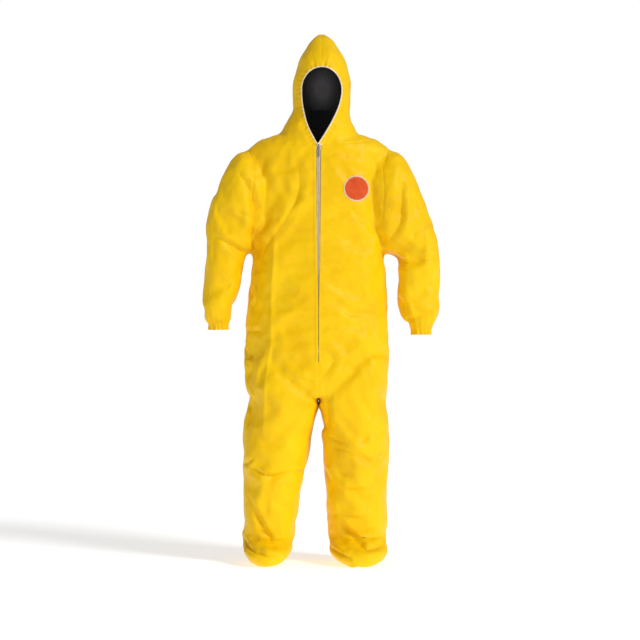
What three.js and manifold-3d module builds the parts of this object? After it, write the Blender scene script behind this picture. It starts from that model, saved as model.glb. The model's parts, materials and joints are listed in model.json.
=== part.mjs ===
// A hooded chemical protective coverall with a front zip, gathered cuffs and attached socks.
// Millimetres, +Z up. The front faces -Y, and +X is the wearer's left. The origin is where the wearer's
// shoulders, or a hanger, carry the suit. Heights inside the model are counted from the soles.
import * as THREE from 'three';
import { LoftGeometry } from 'three/addons/geometries/LoftGeometry.js';
import { mergeVertices } from 'three/addons/utils/BufferGeometryUtils.js';
import Module from 'manifold-3d';

const wasm = await Module();
wasm.setup();

// ---- Driving sizes ----

// Lengths that stack up from the soles
const legLength = 577; // sole to crotch seam
const sideRise = 145; // crotch seam up to where the leg is joined at the side
const bodyLength = 520; // crotch seam to armpit
const armholeHeight = 340; // armpit to shoulder point
const shoulderRise = 48; // shoulder point up to the neck seam
const hoodHeight = 359; // neck seam to peak
const restDrop = 45; // neck seam down to the line that the shoulders carry

// Trunk
const hipHalfWidth = 252;
const hipSway = 7; // the hips stand this far towards the wearer's right
const waistHalfWidth = 244;
const chestHalfWidth = 228;
const shoulderHalfWidth = 249;
const neckHalfWidth = 128;
const neckFront = 107; // from the middle plane to the front, at the zip's top
const zipLean = 0.06; // the front edge stands this much further out per millimetre down
const hipBack = 134;
const chestBack = 118;
const neckBack = 94;
const sideSeamY = -8; // side and shoulder seams lie on this plane
const neckSeamTilt = 0.33; // the neck seam climbs this much per millimetre towards the back

// Sleeves, which hang a little differently on the two sides
const sleeveDrop = { left: 645, right: 628 }; // shoulder point down to the cuff's hem
const elbowDrop = 402; // shoulder point down to the middle of the elbow
const elbowReach = { left: 350, right: 329 }; // from the middle plane to the elbow's middle
const elbowWidth = { left: 160, right: 150 };
const forearmReach = { left: 350, right: 345 };
const forearmWidth = { left: 148, right: 118 };
const cuffReach = { left: 358, right: 348 };
const cuffWidth = 70;
const cuffDepth = 68;
const cuffHeight = 20;
const sleeveForward = 28; // the cuff's middle hangs this far in front of the middle plane

// Legs
const crotchGap = 12; // between the two inner legs at the crotch seam
const thighWidth = 233;
const kneeWidth = 226;
const calfWidth = { left: 212, right: 194 };
const ankleWidth = { left: 207, right: 178 };
const kneeHeight = legLength * 0.667;
const calfHeight = legLength * 0.407;
const ankleHeight = 100;
const ankleZone = 50; // height of the band that bends at the ankle
const stance = { left: 138, right: 175 }; // ankle's middle from the middle plane
const toeOut = { left: 6, right: 2 }; // the toe's middle from the ankle's
const footLength = 262;
const footWidth = { left: 168, right: 132 };
const toeHeight = 44;

// Hood
const hoodHalfWidth = 100;
const hoodLean = 11; // the hood stands this far towards the wearer's left
const hoodFront = 110;
const hoodBack = 146;
const openingTop = 230; // neck seam to the top of the face opening
const openingHalfWidth = 68;
const bindingWidth = 7;
const neckZone = 58; // height of the band that bends under the hood

// Cloth and trim
const wall = 1.8; // fabric with its seams
const gap = 0.3; // left between pieces that touch
const elasticThickness = 1.1;
const liningThickness = 1.2;
const liningSetIn = 1.4; // the lining hangs this far inside the hood
const badgeAcross = 82;
const badgeBorder = 4.5;
const badgeOut = 131; // from the middle plane to the badge's middle
const badgeDrop = 155; // zip's top down to the badge's middle

// Zip, whose teeth run in two straight rows
const zipLength = 752;
const zipSlot = 8.5; // from the middle to the edge of each front panel
const tapeWidth = 15;
const tapeThickness = 0.8;
const chainWidth = 2.4;
const chainThickness = 2.2;
const chainSplit = 1.6; // between the two rows
const chainDepth = 1; // the rows' faces lie this far behind the cloth's
const stopLength = 4;
const sliderLength = 11;
const sliderWidth = 9;
const sliderPlate = 1.2; // thickness of each of the slider's plates
const pullLength = 32;
const pullWidth = 8;
const pullThickness = 1.4;

// Worked-out heights
const crotch = legLength;
const hip = crotch + sideRise;
const armpit = crotch + bodyLength;
const shoulder = armpit + armholeHeight;
const neck = shoulder + shoulderRise;
const zipTop = neck - neckFront * neckSeamTilt + 2;
const waist = (hip + armpit) / 2;
const far = neck + hoodHeight; // further than anything reaches

const root = new THREE.Group();
root.position.z = restDrop - neck;

// ---- Helpers ----

const solidOf = (geometry) => {
  const bare = geometry.index ? geometry.toNonIndexed() : geometry.clone();
  bare.deleteAttribute('normal');
  bare.deleteAttribute('uv');
  const merged = mergeVertices(bare, 1e-3);
  return new wasm.Manifold(new wasm.Mesh({
    numProp: 3,
    vertProperties: merged.attributes.position.array,
    triVerts: new Uint32Array(merged.index.array),
  }));
};

const geometryOf = (solid) => {
  const made = solid.getMesh();
  const geometry = new THREE.BufferGeometry();
  geometry.setAttribute('position', new THREE.BufferAttribute(made.vertProperties, made.numProp));
  geometry.setIndex(new THREE.BufferAttribute(made.triVerts, 1));
  return geometry;
};

const finish = (color, roughness, metalness = 0) =>
  new THREE.MeshStandardMaterial({ color, roughness, metalness });
const yellowCloth = finish(0xf2c71c, 0.5);
const darkCloth = finish(0x3b3a3e, 0.7);
const paleTrim = finish(0xe8dcc0, 0.8);
const nylonTeeth = finish(0xd9d2c0, 0.45);
const zincAlloy = finish(0xb9b9b4, 0.3, 0.9);
const orangePatch = finish(0xdd5a2b, 0.6);

// Adds one named piece: its largest body, without the slivers that a cut can leave.
const add = (name, solid, material, parent = root) => {
  const bodies = solid.decompose().sort((a, b) => b.volume() - a.volume());
  const mesh = new THREE.Mesh(geometryOf(bodies[0]), material);
  mesh.name = name;
  parent.add(mesh);
};

// A ring runs from an inner point to an outer point, both [x, z], and from a front y to a back y.
// Its two halves are superellipses: an exponent of 2 is round, and a larger one is boxier.
const ring = (inner, outer, front, back, square = [2.2, 2.2]) => ({ inner, outer, front, back, square });
const level = (z, low, high, front, back, square) => ring([low, z], [high, z], front, back, square);
const lifted = (r, dz) => {
  const up = ([x, z]) => [x, z + dz];
  return { ...r, inner: up(r.inner), outer: up(r.outer) };
};
const mirrored = (r) => ({ ...r, inner: [-r.inner[0], r.inner[1]], outer: [-r.outer[0], r.outer[1]] });

const sectionOf = (r, sides, inset) => {
  const inner = new THREE.Vector2(...r.inner);
  const outer = new THREE.Vector2(...r.outer);
  const middle = inner.clone().add(outer).multiplyScalar(0.5);
  const across = outer.sub(inner);
  const halfWidth = across.length() / 2;
  const halfDepth = (r.back - r.front) / 2;
  across.normalize();
  return Array.from({ length: sides }, (_, i) => {
    const cos = Math.cos((i / sides) * 2 * Math.PI);
    const sin = Math.sin((i / sides) * 2 * Math.PI);
    const exponent = 2 / r.square[cos < 0 ? 0 : 1];
    const u = Math.sign(cos) * Math.abs(cos) ** exponent * (halfWidth - inset);
    const v = Math.sign(sin) * Math.abs(sin) ** exponent * (halfDepth - inset);
    return new THREE.Vector3(middle.x + across.x * u, (r.front + r.back) / 2 + v, middle.y + across.y * u);
  });
};

// A closed form through its rings, which are set in all round by a wall.
const formOf = (rings, sides, inset = 0) => {
  const sections = rings.map((r) => sectionOf(r, sides, inset));
  const [start, next] = sections;
  const edge = new THREE.Vector3().subVectors(start[1], start[0]);
  const facing = edge.cross(new THREE.Vector3().subVectors(start[2], start[1]));
  if (facing.dot(new THREE.Vector3().subVectors(next[0], start[0])) < 0) sections.forEach((s) => s.reverse());
  return solidOf(new LoftGeometry(sections, { capStart: true, capEnd: true }));
};

const outlined = (points) => new THREE.Shape(points.map(([x, y]) => new THREE.Vector2(x, y)));
const extruded = (shape, length) => new THREE.ExtrudeGeometry(
  shape, { depth: length, bevelEnabled: false, steps: 1, curveSegments: 8 },
);

// A prism whose outline is drawn in x and z, and which runs along y.
const faceOn = (points, from = -far, to = far) => {
  const geometry = extruded(outlined(points), to - from);
  geometry.rotateX(Math.PI / 2);
  geometry.translate(0, to, 0);
  return solidOf(geometry);
};
// A prism whose outline is drawn in y and z, and which runs along x.
const sideOn = (points, halfLength = far) => {
  const geometry = extruded(outlined(points), halfLength * 2);
  geometry.rotateX(Math.PI / 2);
  geometry.rotateZ(Math.PI / 2);
  geometry.translate(-halfLength, 0, 0);
  return solidOf(geometry);
};

// The space between two cut lines seen from the front, each kept clear by half a gap.
const between = (upper, lower) => {
  const edge = (line, shift) => {
    const inner = new THREE.Vector2(...line[0]);
    const outer = new THREE.Vector2(...line[1]);
    const along = outer.clone().sub(inner).normalize();
    const aside = new THREE.Vector2(-along.y, along.x).multiplyScalar(Math.sign(along.x) * shift);
    return [inner.addScaledVector(along, -40).add(aside), outer.addScaledVector(along, 60).add(aside)];
  };
  const [a, b] = edge(upper, -gap / 2);
  const [c, d] = edge(lower, gap / 2);
  return faceOn([a, b, d, c].map((p) => [p.x, p.y]));
};

// Everything on one side of an upright plane across x.
const sideOf = (sign, x = 0) => {
  const edge = x + (sign * gap) / 2;
  return faceOn([[edge, -far], [sign * far, -far], [sign * far, far * 2], [edge, far * 2]]);
};

// ---- Forms ----

const frontAt = (z) => -(neckFront + (zipTop - z) * zipLean);

const trunkLevel = (z, halfWidth, back, square, sway = 0) =>
  level(z, -halfWidth - sway, halfWidth - sway, frontAt(z), back, square);
const trunkRings = [
  level(crotch, -hipHalfWidth * 0.62, hipHalfWidth * 0.62, frontAt(crotch) + 16, hipBack - 16),
  trunkLevel(crotch + sideRise * 0.5, hipHalfWidth * 0.93, hipBack - 2, [2.2, 2.2], hipSway),
  trunkLevel(hip, hipHalfWidth, hipBack, [2.2, 2.2], hipSway),
  trunkLevel(waist, waistHalfWidth, hipBack - 8, [2.2, 2.2], hipSway * 0.7),
  trunkLevel(armpit, chestHalfWidth, chestBack, [2.5, 2.5]),
  trunkLevel(armpit + armholeHeight * 0.55, chestHalfWidth + 4, chestBack - 4, [2.4, 2.4]),
  trunkLevel(shoulder - 34, shoulderHalfWidth, chestBack - 14, [2.1, 2.1]),
  trunkLevel(shoulder, shoulderHalfWidth, chestBack - 20, [2, 2]),
  trunkLevel(shoulder + shoulderRise * 0.4, shoulderHalfWidth * 0.91, neckBack, [1.9, 1.9]),
  level(neck - 10, -shoulderHalfWidth * 0.79, shoulderHalfWidth * 0.79,
    12 - neckFront, neckBack - 8, [1.8, 1.8]),
  level(neck + 12, 3 - neckHalfWidth, neckHalfWidth - 3, 30 - neckFront, neckBack - 14),
];

const sleeveRings = (side) => {
  const elbow = shoulder - elbowDrop;
  const hem = shoulder - sleeveDrop[side];
  const innerElbow = elbowReach[side] - elbowWidth[side] / 2;
  const outerElbow = elbowReach[side] + elbowWidth[side] / 2;
  const innerArm = forearmReach[side] - forearmWidth[side] / 2;
  const outerArm = forearmReach[side] + forearmWidth[side] / 2;
  const forearm = (elbow + hem) / 2;
  const reach = cuffReach[side];
  const upperOut = shoulderHalfWidth + 132;
  return [
    ring([chestHalfWidth - 72, armpit + 70], [chestHalfWidth - 72, shoulder - 25], -72, 62),
    ring([chestHalfWidth - 6, armpit + 2], [shoulderHalfWidth + 14, shoulder + 2], -106, 96),
    ring([chestHalfWidth, armpit - 6], [shoulderHalfWidth + 56, shoulder - 35], -104, 94),
    ring([chestHalfWidth + 6, armpit - 12], [shoulderHalfWidth + 99, shoulder - 112], -101, 89),
    ring([chestHalfWidth + 11, armpit - 18], [upperOut, shoulder - 188], -96, 84),
    ring([innerElbow - 13, armpit - 32], [(upperOut + outerElbow) / 2, shoulder - 258], -92, 78),
    ring([innerElbow - 4, elbow + 10], [outerElbow - 10, shoulder - 328], -89, 73),
    ring([(innerElbow + innerArm) / 2, elbow - 64], [outerElbow, elbow - 58], -87, 66),
    ring([innerArm + 2, forearm + 4], [outerArm, forearm + 2], -88, 58),
    ring([innerArm + 12, hem + 80], [outerArm - 5, hem + 76], -86, 46),
    level(hem + 42, reach - cuffWidth * 0.65, reach + cuffWidth * 0.68, -78, 28),
    level(hem + cuffHeight, reach - cuffWidth / 2 - 2, reach + cuffWidth / 2 + 2,
      -sleeveForward - cuffDepth / 2 - 2, -sleeveForward + cuffDepth / 2 + 2),
    level(hem, reach - cuffWidth / 2, reach + cuffWidth / 2,
      -sleeveForward - cuffDepth / 2, -sleeveForward + cuffDepth / 2),
  ];
};

const legRings = (side) => {
  const hipOut = hipHalfWidth + (side === 'right' ? hipSway : -hipSway);
  const hipMiddle = (hipOut + crotchGap / 2) / 2;
  const middleAt = (z) => THREE.MathUtils.mapLinear(z, crotch, ankleHeight, hipMiddle, stance[side]);
  const round = (z, width, front, back, rise = 0) => ring([middleAt(z) - width / 2, z - rise],
    [middleAt(z) + width / 2, z + rise], front, back);
  const foot = (z, middle, width, front, back) =>
    level(z, middle - width / 2, middle + width / 2, front, back, [2.4, 2.4]);
  const calf = calfWidth[side];
  const ankle = ankleWidth[side];
  const toeMiddle = stance[side] + toeOut[side];
  const heel = footLength * 0.31;
  const toe = heel - footLength;
  return [
    ring([crotchGap / 2 + 26, crotch + 88], [hipOut - 38, hip + 52], -120, 105),
    ring([crotchGap / 2, crotch], [hipOut - 1, hip], frontAt(hip) + 5, hipBack - 3, [4.5, 2.2]),
    ring([crotchGap / 2 + 1, crotch - 48], [hipOut - 3, hip - 78], -150, 129, [3.6, 2.2]),
    ring([crotchGap / 2 + 4, crotch - 104], [hipMiddle + thighWidth / 2 - 4, crotch - 4],
      -146, 124, [2.8, 2.2]),
    round((crotch + kneeHeight) / 2 - 15, thighWidth, -140, 119, 20),
    round(kneeHeight, kneeWidth, -133, 113),
    round((kneeHeight + calfHeight) / 2, (kneeWidth + calf) / 2, -126, 108),
    round(calfHeight, calf, -116, 102),
    round(ankleHeight + ankleZone / 2 + 18, ankle + 3, -104, 94),
    round(ankleHeight, ankle, -100, 90),
    foot(ankleHeight * 0.7, stance[side], ankle - 10, toe * 0.74, 90),
    foot(toeHeight, stance[side] + toeOut[side] / 2, footWidth[side] + 34, toe + 4, heel + 3),
    foot(toeHeight * 0.36, toeMiddle, footWidth[side], toe, heel),
    foot(0, toeMiddle, footWidth[side] * 0.66, toe + 16, heel - 14),
  ];
};

const hoodLevel = (rise, halfWidth, lean, front, back) =>
  level(neck + rise, lean - halfWidth, lean + halfWidth, -front, back);
const hoodRings = [
  hoodLevel(-65, neckHalfWidth - 16, 2, neckFront - 14, neckBack - 18),
  hoodLevel(-16, neckHalfWidth + 2, 2, neckFront + 1, neckBack + 4),
  hoodLevel(23, neckHalfWidth, 2, neckFront + 1, neckBack + 10),
  hoodLevel(neckZone, hoodHalfWidth + 10, hoodLean * 0.3, hoodFront, neckBack + 22),
  hoodLevel(93, hoodHalfWidth, hoodLean - 1, hoodFront, hoodBack - 18),
  hoodLevel(185, hoodHalfWidth + 2, hoodLean + 1, hoodFront, hoodBack),
  hoodLevel(233, hoodHalfWidth - 10, hoodLean + 3, hoodFront - 4, hoodBack - 3),
  hoodLevel(268, hoodHalfWidth - 19, hoodLean + 2, hoodFront - 14, hoodBack - 14),
  hoodLevel(303, hoodHalfWidth - 40, hoodLean + 2, hoodFront - 38, hoodBack - 41),
  hoodLevel(338, hoodHalfWidth - 63, hoodLean + 2, hoodFront - 74, hoodBack - 84),
  hoodLevel(hoodHeight, hoodHalfWidth - 92, hoodLean + 1, hoodFront - 104, hoodBack - 120),
];

const sides = { trunk: 28, leg: 18, sleeve: 14, hood: 20 };
const handed = { left: 1, right: -1 };
const limbs = {};
for (const side of Object.keys(handed)) {
  const worn = (rings) => (side === 'left' ? rings : rings.map(mirrored));
  limbs[side] = { sleeve: worn(sleeveRings(side)), leg: worn(legRings(side)) };
}

// The inner forms run out at the cuffs and stop above the soles, over the crotch and under the peak.
const endMoved = (rings, dz) => [...rings.slice(0, -1), lifted(rings[rings.length - 1], dz)];
const innerOf = {
  trunk: [lifted(trunkRings[0], wall), ...trunkRings.slice(1)],
  hood: endMoved(hoodRings, -wall),
  sleeve: (rings) => [...rings, lifted(rings[rings.length - 1], -20)],
  leg: (rings) => endMoved(rings, wall),
};
const trunkForm = formOf(trunkRings, sides.trunk);
let outerForm = trunkForm.add(formOf(hoodRings, sides.hood));
let innerForm = formOf(innerOf.trunk, sides.trunk, wall).add(formOf(innerOf.hood, sides.hood, wall));
for (const { sleeve, leg } of Object.values(limbs)) {
  outerForm = outerForm.add(formOf(sleeve, sides.sleeve)).add(formOf(leg, sides.leg));
  innerForm = innerForm.add(formOf(innerOf.sleeve(sleeve), sides.sleeve, wall));
  innerForm = innerForm.add(formOf(innerOf.leg(leg), sides.leg, wall));
}
const cloth = outerForm.subtract(innerForm);

// ---- Hood ----

// Everything above a plane that is parallel to the neck seam.
const aboveNeck = (rise) => {
  const at = (y) => neck + rise + y * neckSeamTilt;
  return sideOn([[-far, at(-far)], [far, at(far)], [far, far * 2], [-far, far * 2]]);
};

// The face opening: a round top that narrows to a point at the zip's top, seen from the front.
const openingCut = (grow) => {
  const top = neck + openingTop + grow;
  const wide = openingHalfWidth + grow;
  const brow = neck + openingTop - openingHalfWidth * 1.08;
  const tip = zipTop - grow * 2.2;
  const shape = new THREE.Shape();
  shape.moveTo(-2, tip);
  shape.bezierCurveTo(40 + grow, tip + 66, hoodLean + wide, brow - 62, hoodLean + wide, brow);
  shape.bezierCurveTo(hoodLean + wide, brow + 42, hoodLean + wide * 0.55, top, hoodLean, top);
  shape.bezierCurveTo(hoodLean - wide * 0.55, top, hoodLean - wide, brow + 42, hoodLean - wide, brow);
  shape.bezierCurveTo(hoodLean - wide, brow - 74, -38 - grow, tip + 52, -2, tip);
  return faceOn(shape.getPoints(6).slice(0, -1).map((p) => [p.x, p.y]), -far, -40);
};

const bandTop = aboveNeck(neckZone + gap / 2);
const bandBottom = aboveNeck(neckZone - gap / 2);
const hoodShell = cloth.intersect(aboveNeck(gap / 2));
const openedHood = hoodShell.subtract(openingCut(bindingWidth + gap));
add('hood_left_panel', openedHood.intersect(bandTop).intersect(sideOf(1, hoodLean)), yellowCloth);
add('hood_right_panel', openedHood.intersect(bandTop).intersect(sideOf(-1, hoodLean)), yellowCloth);
add('neck_fold', openedHood.subtract(bandBottom), yellowCloth);

// The binding is a band of the hood's own wall around the opening, open at the zip.
const binding = hoodShell.intersect(openingCut(bindingWidth).subtract(openingCut(0)));
add('face_binding', binding.intersect(bandTop), paleTrim);
add('left_neck_binding', binding.subtract(bandBottom).intersect(sideOf(1, 1)), paleTrim);
add('right_neck_binding', binding.subtract(bandBottom).intersect(sideOf(-1, -1)), paleTrim);

const hoodLayer = (inset, thickness) => formOf(endMoved(hoodRings, -inset), sides.hood, inset)
  .subtract(formOf(endMoved(hoodRings, -inset - thickness), sides.hood, inset + thickness));
const behindBinding = openingCut(bindingWidth - 1.5).subtract(openingCut(1.5));
add('face_elastic', hoodLayer(wall + gap, elasticThickness).intersect(behindBinding)
  .intersect(bandTop), paleTrim);
add('hood_lining', hoodLayer(wall + liningSetIn, liningThickness).intersect(aboveNeck(neckZone + 4))
  .subtract(openingCut(bindingWidth + 2)), darkCloth);

// ---- Trunk ----

const legSeam = [[0, crotch + gap], [hipHalfWidth, hip + gap]];
const slope = sideRise / hipHalfWidth;
const trunkSpace = faceOn([legSeam[0], [far, legSeam[0][1] + far * slope], [far, far * 2], [-far, far * 2],
  [-far, legSeam[0][1] + far * slope]]);
const legForms = formOf(limbs.left.leg, sides.leg).add(formOf(limbs.right.leg, sides.leg));
const neckForm = formOf(hoodRings, sides.hood);
const trunkShell = cloth.intersect(trunkForm.add(legForms).add(neckForm)).intersect(trunkSpace)
  .subtract(aboveNeck(-gap / 2));
const zipBottom = zipTop - zipLength;
const zipCut = faceOn([[-zipSlot, zipBottom], [zipSlot, zipBottom], [zipSlot, far], [-zipSlot, far]],
  -far, 0);
const halfSpace = (sign) => {
  const edge = sideSeamY + (sign * gap) / 2;
  return sideOn([[edge, 0], [sign * far, 0], [sign * far, far * 2], [edge, far * 2]]);
};
const frontShell = trunkShell.intersect(halfSpace(-1)).subtract(zipCut);
add('left_front_panel', frontShell.intersect(sideOf(1)), yellowCloth);
add('right_front_panel', frontShell.intersect(sideOf(-1)), yellowCloth);
add('back_panel', trunkShell.intersect(halfSpace(1)), yellowCloth);

// The round badge follows the chest as two thin layers.
const roundOutline = (across) => {
  const circle = new THREE.EllipseCurve(badgeOut, zipTop - badgeDrop, across / 2, across / 2);
  return circle.getPoints(24).slice(0, -1).map((p) => [p.x, p.y]);
};
const badgeLayer = (across, from, to) => formOf(trunkRings, sides.trunk, -to)
  .subtract(formOf(trunkRings, sides.trunk, -from)).intersect(faceOn(roundOutline(across), -far, 0));
add('badge_border', badgeLayer(badgeAcross + badgeBorder * 2, gap, 1), paleTrim);
add('badge_face', badgeLayer(badgeAcross, 1 + gap, 2), orangePatch);

// ---- Sleeves and legs, cut across into lengths that bend and lengths that don't ----

const cutLine = (r) => [r.inner, r.outer];
const moved = ([inner, outer], dz) => [[inner[0], inner[1] + dz], [outer[0], outer[1] + dz]];
const clearOfTrunk = formOf(trunkRings, sides.trunk, -gap);

for (const [side, sign] of Object.entries(handed)) {
  const { sleeve, leg } = limbs[side];

  const sleeveShell = cloth.intersect(formOf(sleeve, sides.sleeve, -0.01)).subtract(clearOfTrunk);
  const armhole = [[sign * 60, armpit - 120], [sign * 120, far]];
  const arm = (from, to) => sleeveShell.intersect(between(from, to));
  const armLines = sleeve.map(cutLine);
  add(`${side}_sleeve_cap`, arm(armhole, armLines[4]), yellowCloth);
  add(`${side}_upper_sleeve`, arm(armLines[4], armLines[6]), yellowCloth);
  add(`${side}_elbow_fold`, arm(armLines[6], armLines[7]), yellowCloth);
  add(`${side}_lower_sleeve`, arm(armLines[7], armLines[11]), yellowCloth);
  add(`${side}_cuff`, arm(armLines[11], moved(armLines[12], -10)), yellowCloth);
  const elasticRings = [lifted(sleeve[11], -4), lifted(sleeve[12], 5)];
  const elasticHole = [lifted(sleeve[11], 1), lifted(sleeve[12], -1)];
  add(`${side}_wrist_elastic`, formOf(elasticRings, sides.sleeve, wall + 0.6)
    .subtract(formOf(elasticHole, sides.sleeve, wall + 0.6 + elasticThickness)), paleTrim);

  const legShell = cloth.intersect(formOf(leg, sides.leg, -0.01)).intersect(sideOf(sign));
  const limb = (from, to) => legShell.intersect(between(from, to));
  const legLines = leg.map(cutLine);
  const ankleTop = moved(legLines[9], ankleZone / 2);
  const ankleEnd = moved(legLines[9], -ankleZone / 2);
  add(`${side}_seat`, limb([[0, crotch], [sign * hipHalfWidth, hip]], legLines[3]), yellowCloth);
  add(`${side}_thigh`, limb(legLines[3], legLines[4]), yellowCloth);
  add(`${side}_knee_fold`, limb(legLines[4], legLines[6]), yellowCloth);
  add(`${side}_shin`, limb(legLines[6], ankleTop), yellowCloth);
  add(`${side}_ankle_fold`, limb(ankleTop, ankleEnd), yellowCloth);
  add(`${side}_sock`, limb(ankleEnd, legLines[12]), yellowCloth);
  add(`${side}_sock_sole`, limb(legLines[12], moved(legLines[13], -10)), yellowCloth);
}

// ---- Zip, in a frame whose z runs up along the front edge and whose -y faces out ----

const zip = new THREE.Group();
zip.position.set(0, frontAt(zipTop), zipTop);
zip.rotation.x = -Math.atan(zipLean);
root.add(zip);

const block = (width, depth, height, x, y, z) => {
  const geometry = new THREE.BoxGeometry(width, depth, height);
  geometry.translate(x, y, z);
  return solidOf(geometry);
};
const tapeFront = chainDepth + chainThickness + gap;
const chainMiddle = chainDepth + chainThickness / 2;
const chainOut = (chainSplit + chainWidth) / 2;
const stopEnd = 2 + stopLength;
const bottomStop = zipLength - 3 - stopLength;
const chainLength = bottomStop - stopEnd - gap * 2;
const chainCentre = -(stopEnd + gap + chainLength / 2);
for (const [side, sign] of Object.entries(handed)) {
  const tapeOut = (chainSplit + tapeWidth) / 2;
  add(`${side}_zip_tape`, block(tapeWidth, tapeThickness, zipLength,
    sign * tapeOut, tapeFront + tapeThickness / 2, -zipLength / 2), paleTrim, zip);
  add(`${side}_zip_teeth`, block(chainWidth, chainThickness, chainLength,
    sign * chainOut, chainMiddle, chainCentre), nylonTeeth, zip);
  add(`${side}_top_stop`, block(chainWidth, chainThickness, stopLength,
    sign * chainOut, chainMiddle, -2 - stopLength / 2), zincAlloy, zip);
}
add('bottom_stop', block(chainSplit + chainWidth * 2, chainThickness, stopLength,
  0, chainMiddle, -bottomStop - stopLength / 2), zincAlloy, zip);

// The slider has a plate before the teeth and one behind the tapes, joined between the two rows.
const sliderTop = stopEnd + 3;
const sliderMiddle = -sliderTop - sliderLength / 2;
const frontPlateIn = chainDepth - gap;
const frontPlateOut = frontPlateIn - sliderPlate;
const backPlateIn = tapeFront + tapeThickness + gap;
const backPlateOut = backPlateIn + sliderPlate;
const divider = chainSplit - gap * 2;
const plate = (from, to) => block(sliderWidth, to - from, sliderLength, 0, (from + to) / 2, sliderMiddle);
const pullRadius = pullThickness / 2;
const bridgeThickness = 1.1;
const bridgeWindow = pullThickness + 1;
const bridgeHalf = 4;
const bridgeWidth = 2.4;
const bridgeOuter = block(bridgeWidth, bridgeWindow + bridgeThickness + 0.2, bridgeHalf * 2,
  0, frontPlateOut + 0.1 - (bridgeWindow + bridgeThickness) / 2, sliderMiddle);
const bridgeHole = block(bridgeWidth + 2, bridgeWindow, (bridgeHalf - bridgeThickness - 0.3) * 2,
  0, frontPlateOut - bridgeWindow / 2, sliderMiddle);
add('zip_slider', plate(frontPlateOut, frontPlateIn).add(plate(backPlateIn, backPlateOut))
  .add(block(divider, backPlateOut - frontPlateOut - 1, sliderLength, 0,
    (backPlateOut + frontPlateOut) / 2, sliderMiddle))
  .add(bridgeOuter.subtract(bridgeHole)), zincAlloy, zip);

// The pull's round bar lies under the bridge, and its window clears the bridge all the way round.
const pullAxis = frontPlateOut - bridgeWindow / 2;
const windowEnd = 5.8;
const pullShape = new THREE.Shape();
const pullHalf = pullWidth / 2;
pullShape.moveTo(-pullHalf, 0);
pullShape.lineTo(-pullHalf, -pullLength + pullHalf);
pullShape.absarc(0, -pullLength + pullHalf, pullHalf, Math.PI, Math.PI * 2);
pullShape.lineTo(pullHalf, 0);
const pullPlate = extruded(pullShape, pullThickness);
pullPlate.rotateX(Math.PI / 2);
pullPlate.translate(0, pullRadius, 0);
const pullWindow = block(bridgeWidth + 1.2, pullThickness * 2, windowEnd, 0, 0, -windowEnd / 2);
const pullBar = new THREE.CylinderGeometry(pullRadius, pullRadius, pullWidth, 12);
pullBar.rotateZ(Math.PI / 2);
const pull = new THREE.Group();
pull.position.set(0, pullAxis, sliderMiddle);
zip.add(pull);
add('zip_pull', solidOf(pullPlate).subtract(pullWindow).add(solidOf(pullBar)), zincAlloy, pull);

export default root;
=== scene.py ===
import json
import math

import bmesh
import bpy
import numpy as np
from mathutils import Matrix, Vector
from mathutils.bvhtree import BVHTree
from mathutils.kdtree import KDTree

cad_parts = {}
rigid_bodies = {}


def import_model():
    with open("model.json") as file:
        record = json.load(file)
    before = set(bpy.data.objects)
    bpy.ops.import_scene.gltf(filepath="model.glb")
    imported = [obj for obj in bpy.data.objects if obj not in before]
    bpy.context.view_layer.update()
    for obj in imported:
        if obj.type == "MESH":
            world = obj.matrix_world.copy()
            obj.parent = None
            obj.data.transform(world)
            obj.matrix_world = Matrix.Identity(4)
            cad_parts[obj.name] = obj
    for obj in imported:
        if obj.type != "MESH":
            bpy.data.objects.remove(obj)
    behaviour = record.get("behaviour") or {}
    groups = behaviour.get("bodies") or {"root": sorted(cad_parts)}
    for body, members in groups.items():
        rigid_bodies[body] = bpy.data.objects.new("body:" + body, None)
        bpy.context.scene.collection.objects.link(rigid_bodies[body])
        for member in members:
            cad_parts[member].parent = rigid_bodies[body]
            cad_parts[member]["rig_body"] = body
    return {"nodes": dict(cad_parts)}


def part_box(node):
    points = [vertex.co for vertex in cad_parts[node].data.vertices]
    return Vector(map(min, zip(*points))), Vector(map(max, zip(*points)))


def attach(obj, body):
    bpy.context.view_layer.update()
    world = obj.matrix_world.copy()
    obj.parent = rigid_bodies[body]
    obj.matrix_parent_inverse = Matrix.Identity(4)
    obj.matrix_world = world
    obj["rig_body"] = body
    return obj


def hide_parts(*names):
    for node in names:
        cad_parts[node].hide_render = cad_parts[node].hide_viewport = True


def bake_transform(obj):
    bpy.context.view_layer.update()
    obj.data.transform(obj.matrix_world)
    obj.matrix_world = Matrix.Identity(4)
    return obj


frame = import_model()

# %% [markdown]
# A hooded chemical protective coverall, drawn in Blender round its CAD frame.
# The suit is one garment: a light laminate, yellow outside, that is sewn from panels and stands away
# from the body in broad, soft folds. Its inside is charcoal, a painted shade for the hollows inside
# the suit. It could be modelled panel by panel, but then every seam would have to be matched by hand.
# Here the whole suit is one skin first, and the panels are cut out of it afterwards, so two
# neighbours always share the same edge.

for stray in [o for o in bpy.data.objects if o.type != "EMPTY" and "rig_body" not in o]:
    bpy.data.objects.remove(stray)
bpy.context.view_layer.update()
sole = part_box("left_sock_sole")[0].z

# %% [markdown]
# Sizes are easier to think about in millimetres above the soles, as a tailor would note them.
# These helpers turn such a note into the frame's metres and back.

# %% millimetres above the soles
MM = 0.001


def metres(points):
    return np.asarray(points, float) * MM + (0, 0, sole)


def tailor(points):
    return (np.asarray(points, float) - (0, 0, sole)) / MM


def smooth(value, low, high):
    t = np.clip((value - low) / (high - low), 0, 1)
    return t * t * (3 - 2 * t)


# Heights of the suit's landmarks above the soles.
CROTCH, HIP, WAIST, ARMPIT, SHOULDER, NECK = 577, 722, 909.5, 1097, 1437, 1485
# The zip leans by a slope. Its top stands this far in front of the middle plane.
ZIP_TOP, ZIP_LENGTH, ZIP_LEAN, ZIP_TOP_FRONT = 1451.7, 752, 0.06, 107
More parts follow.
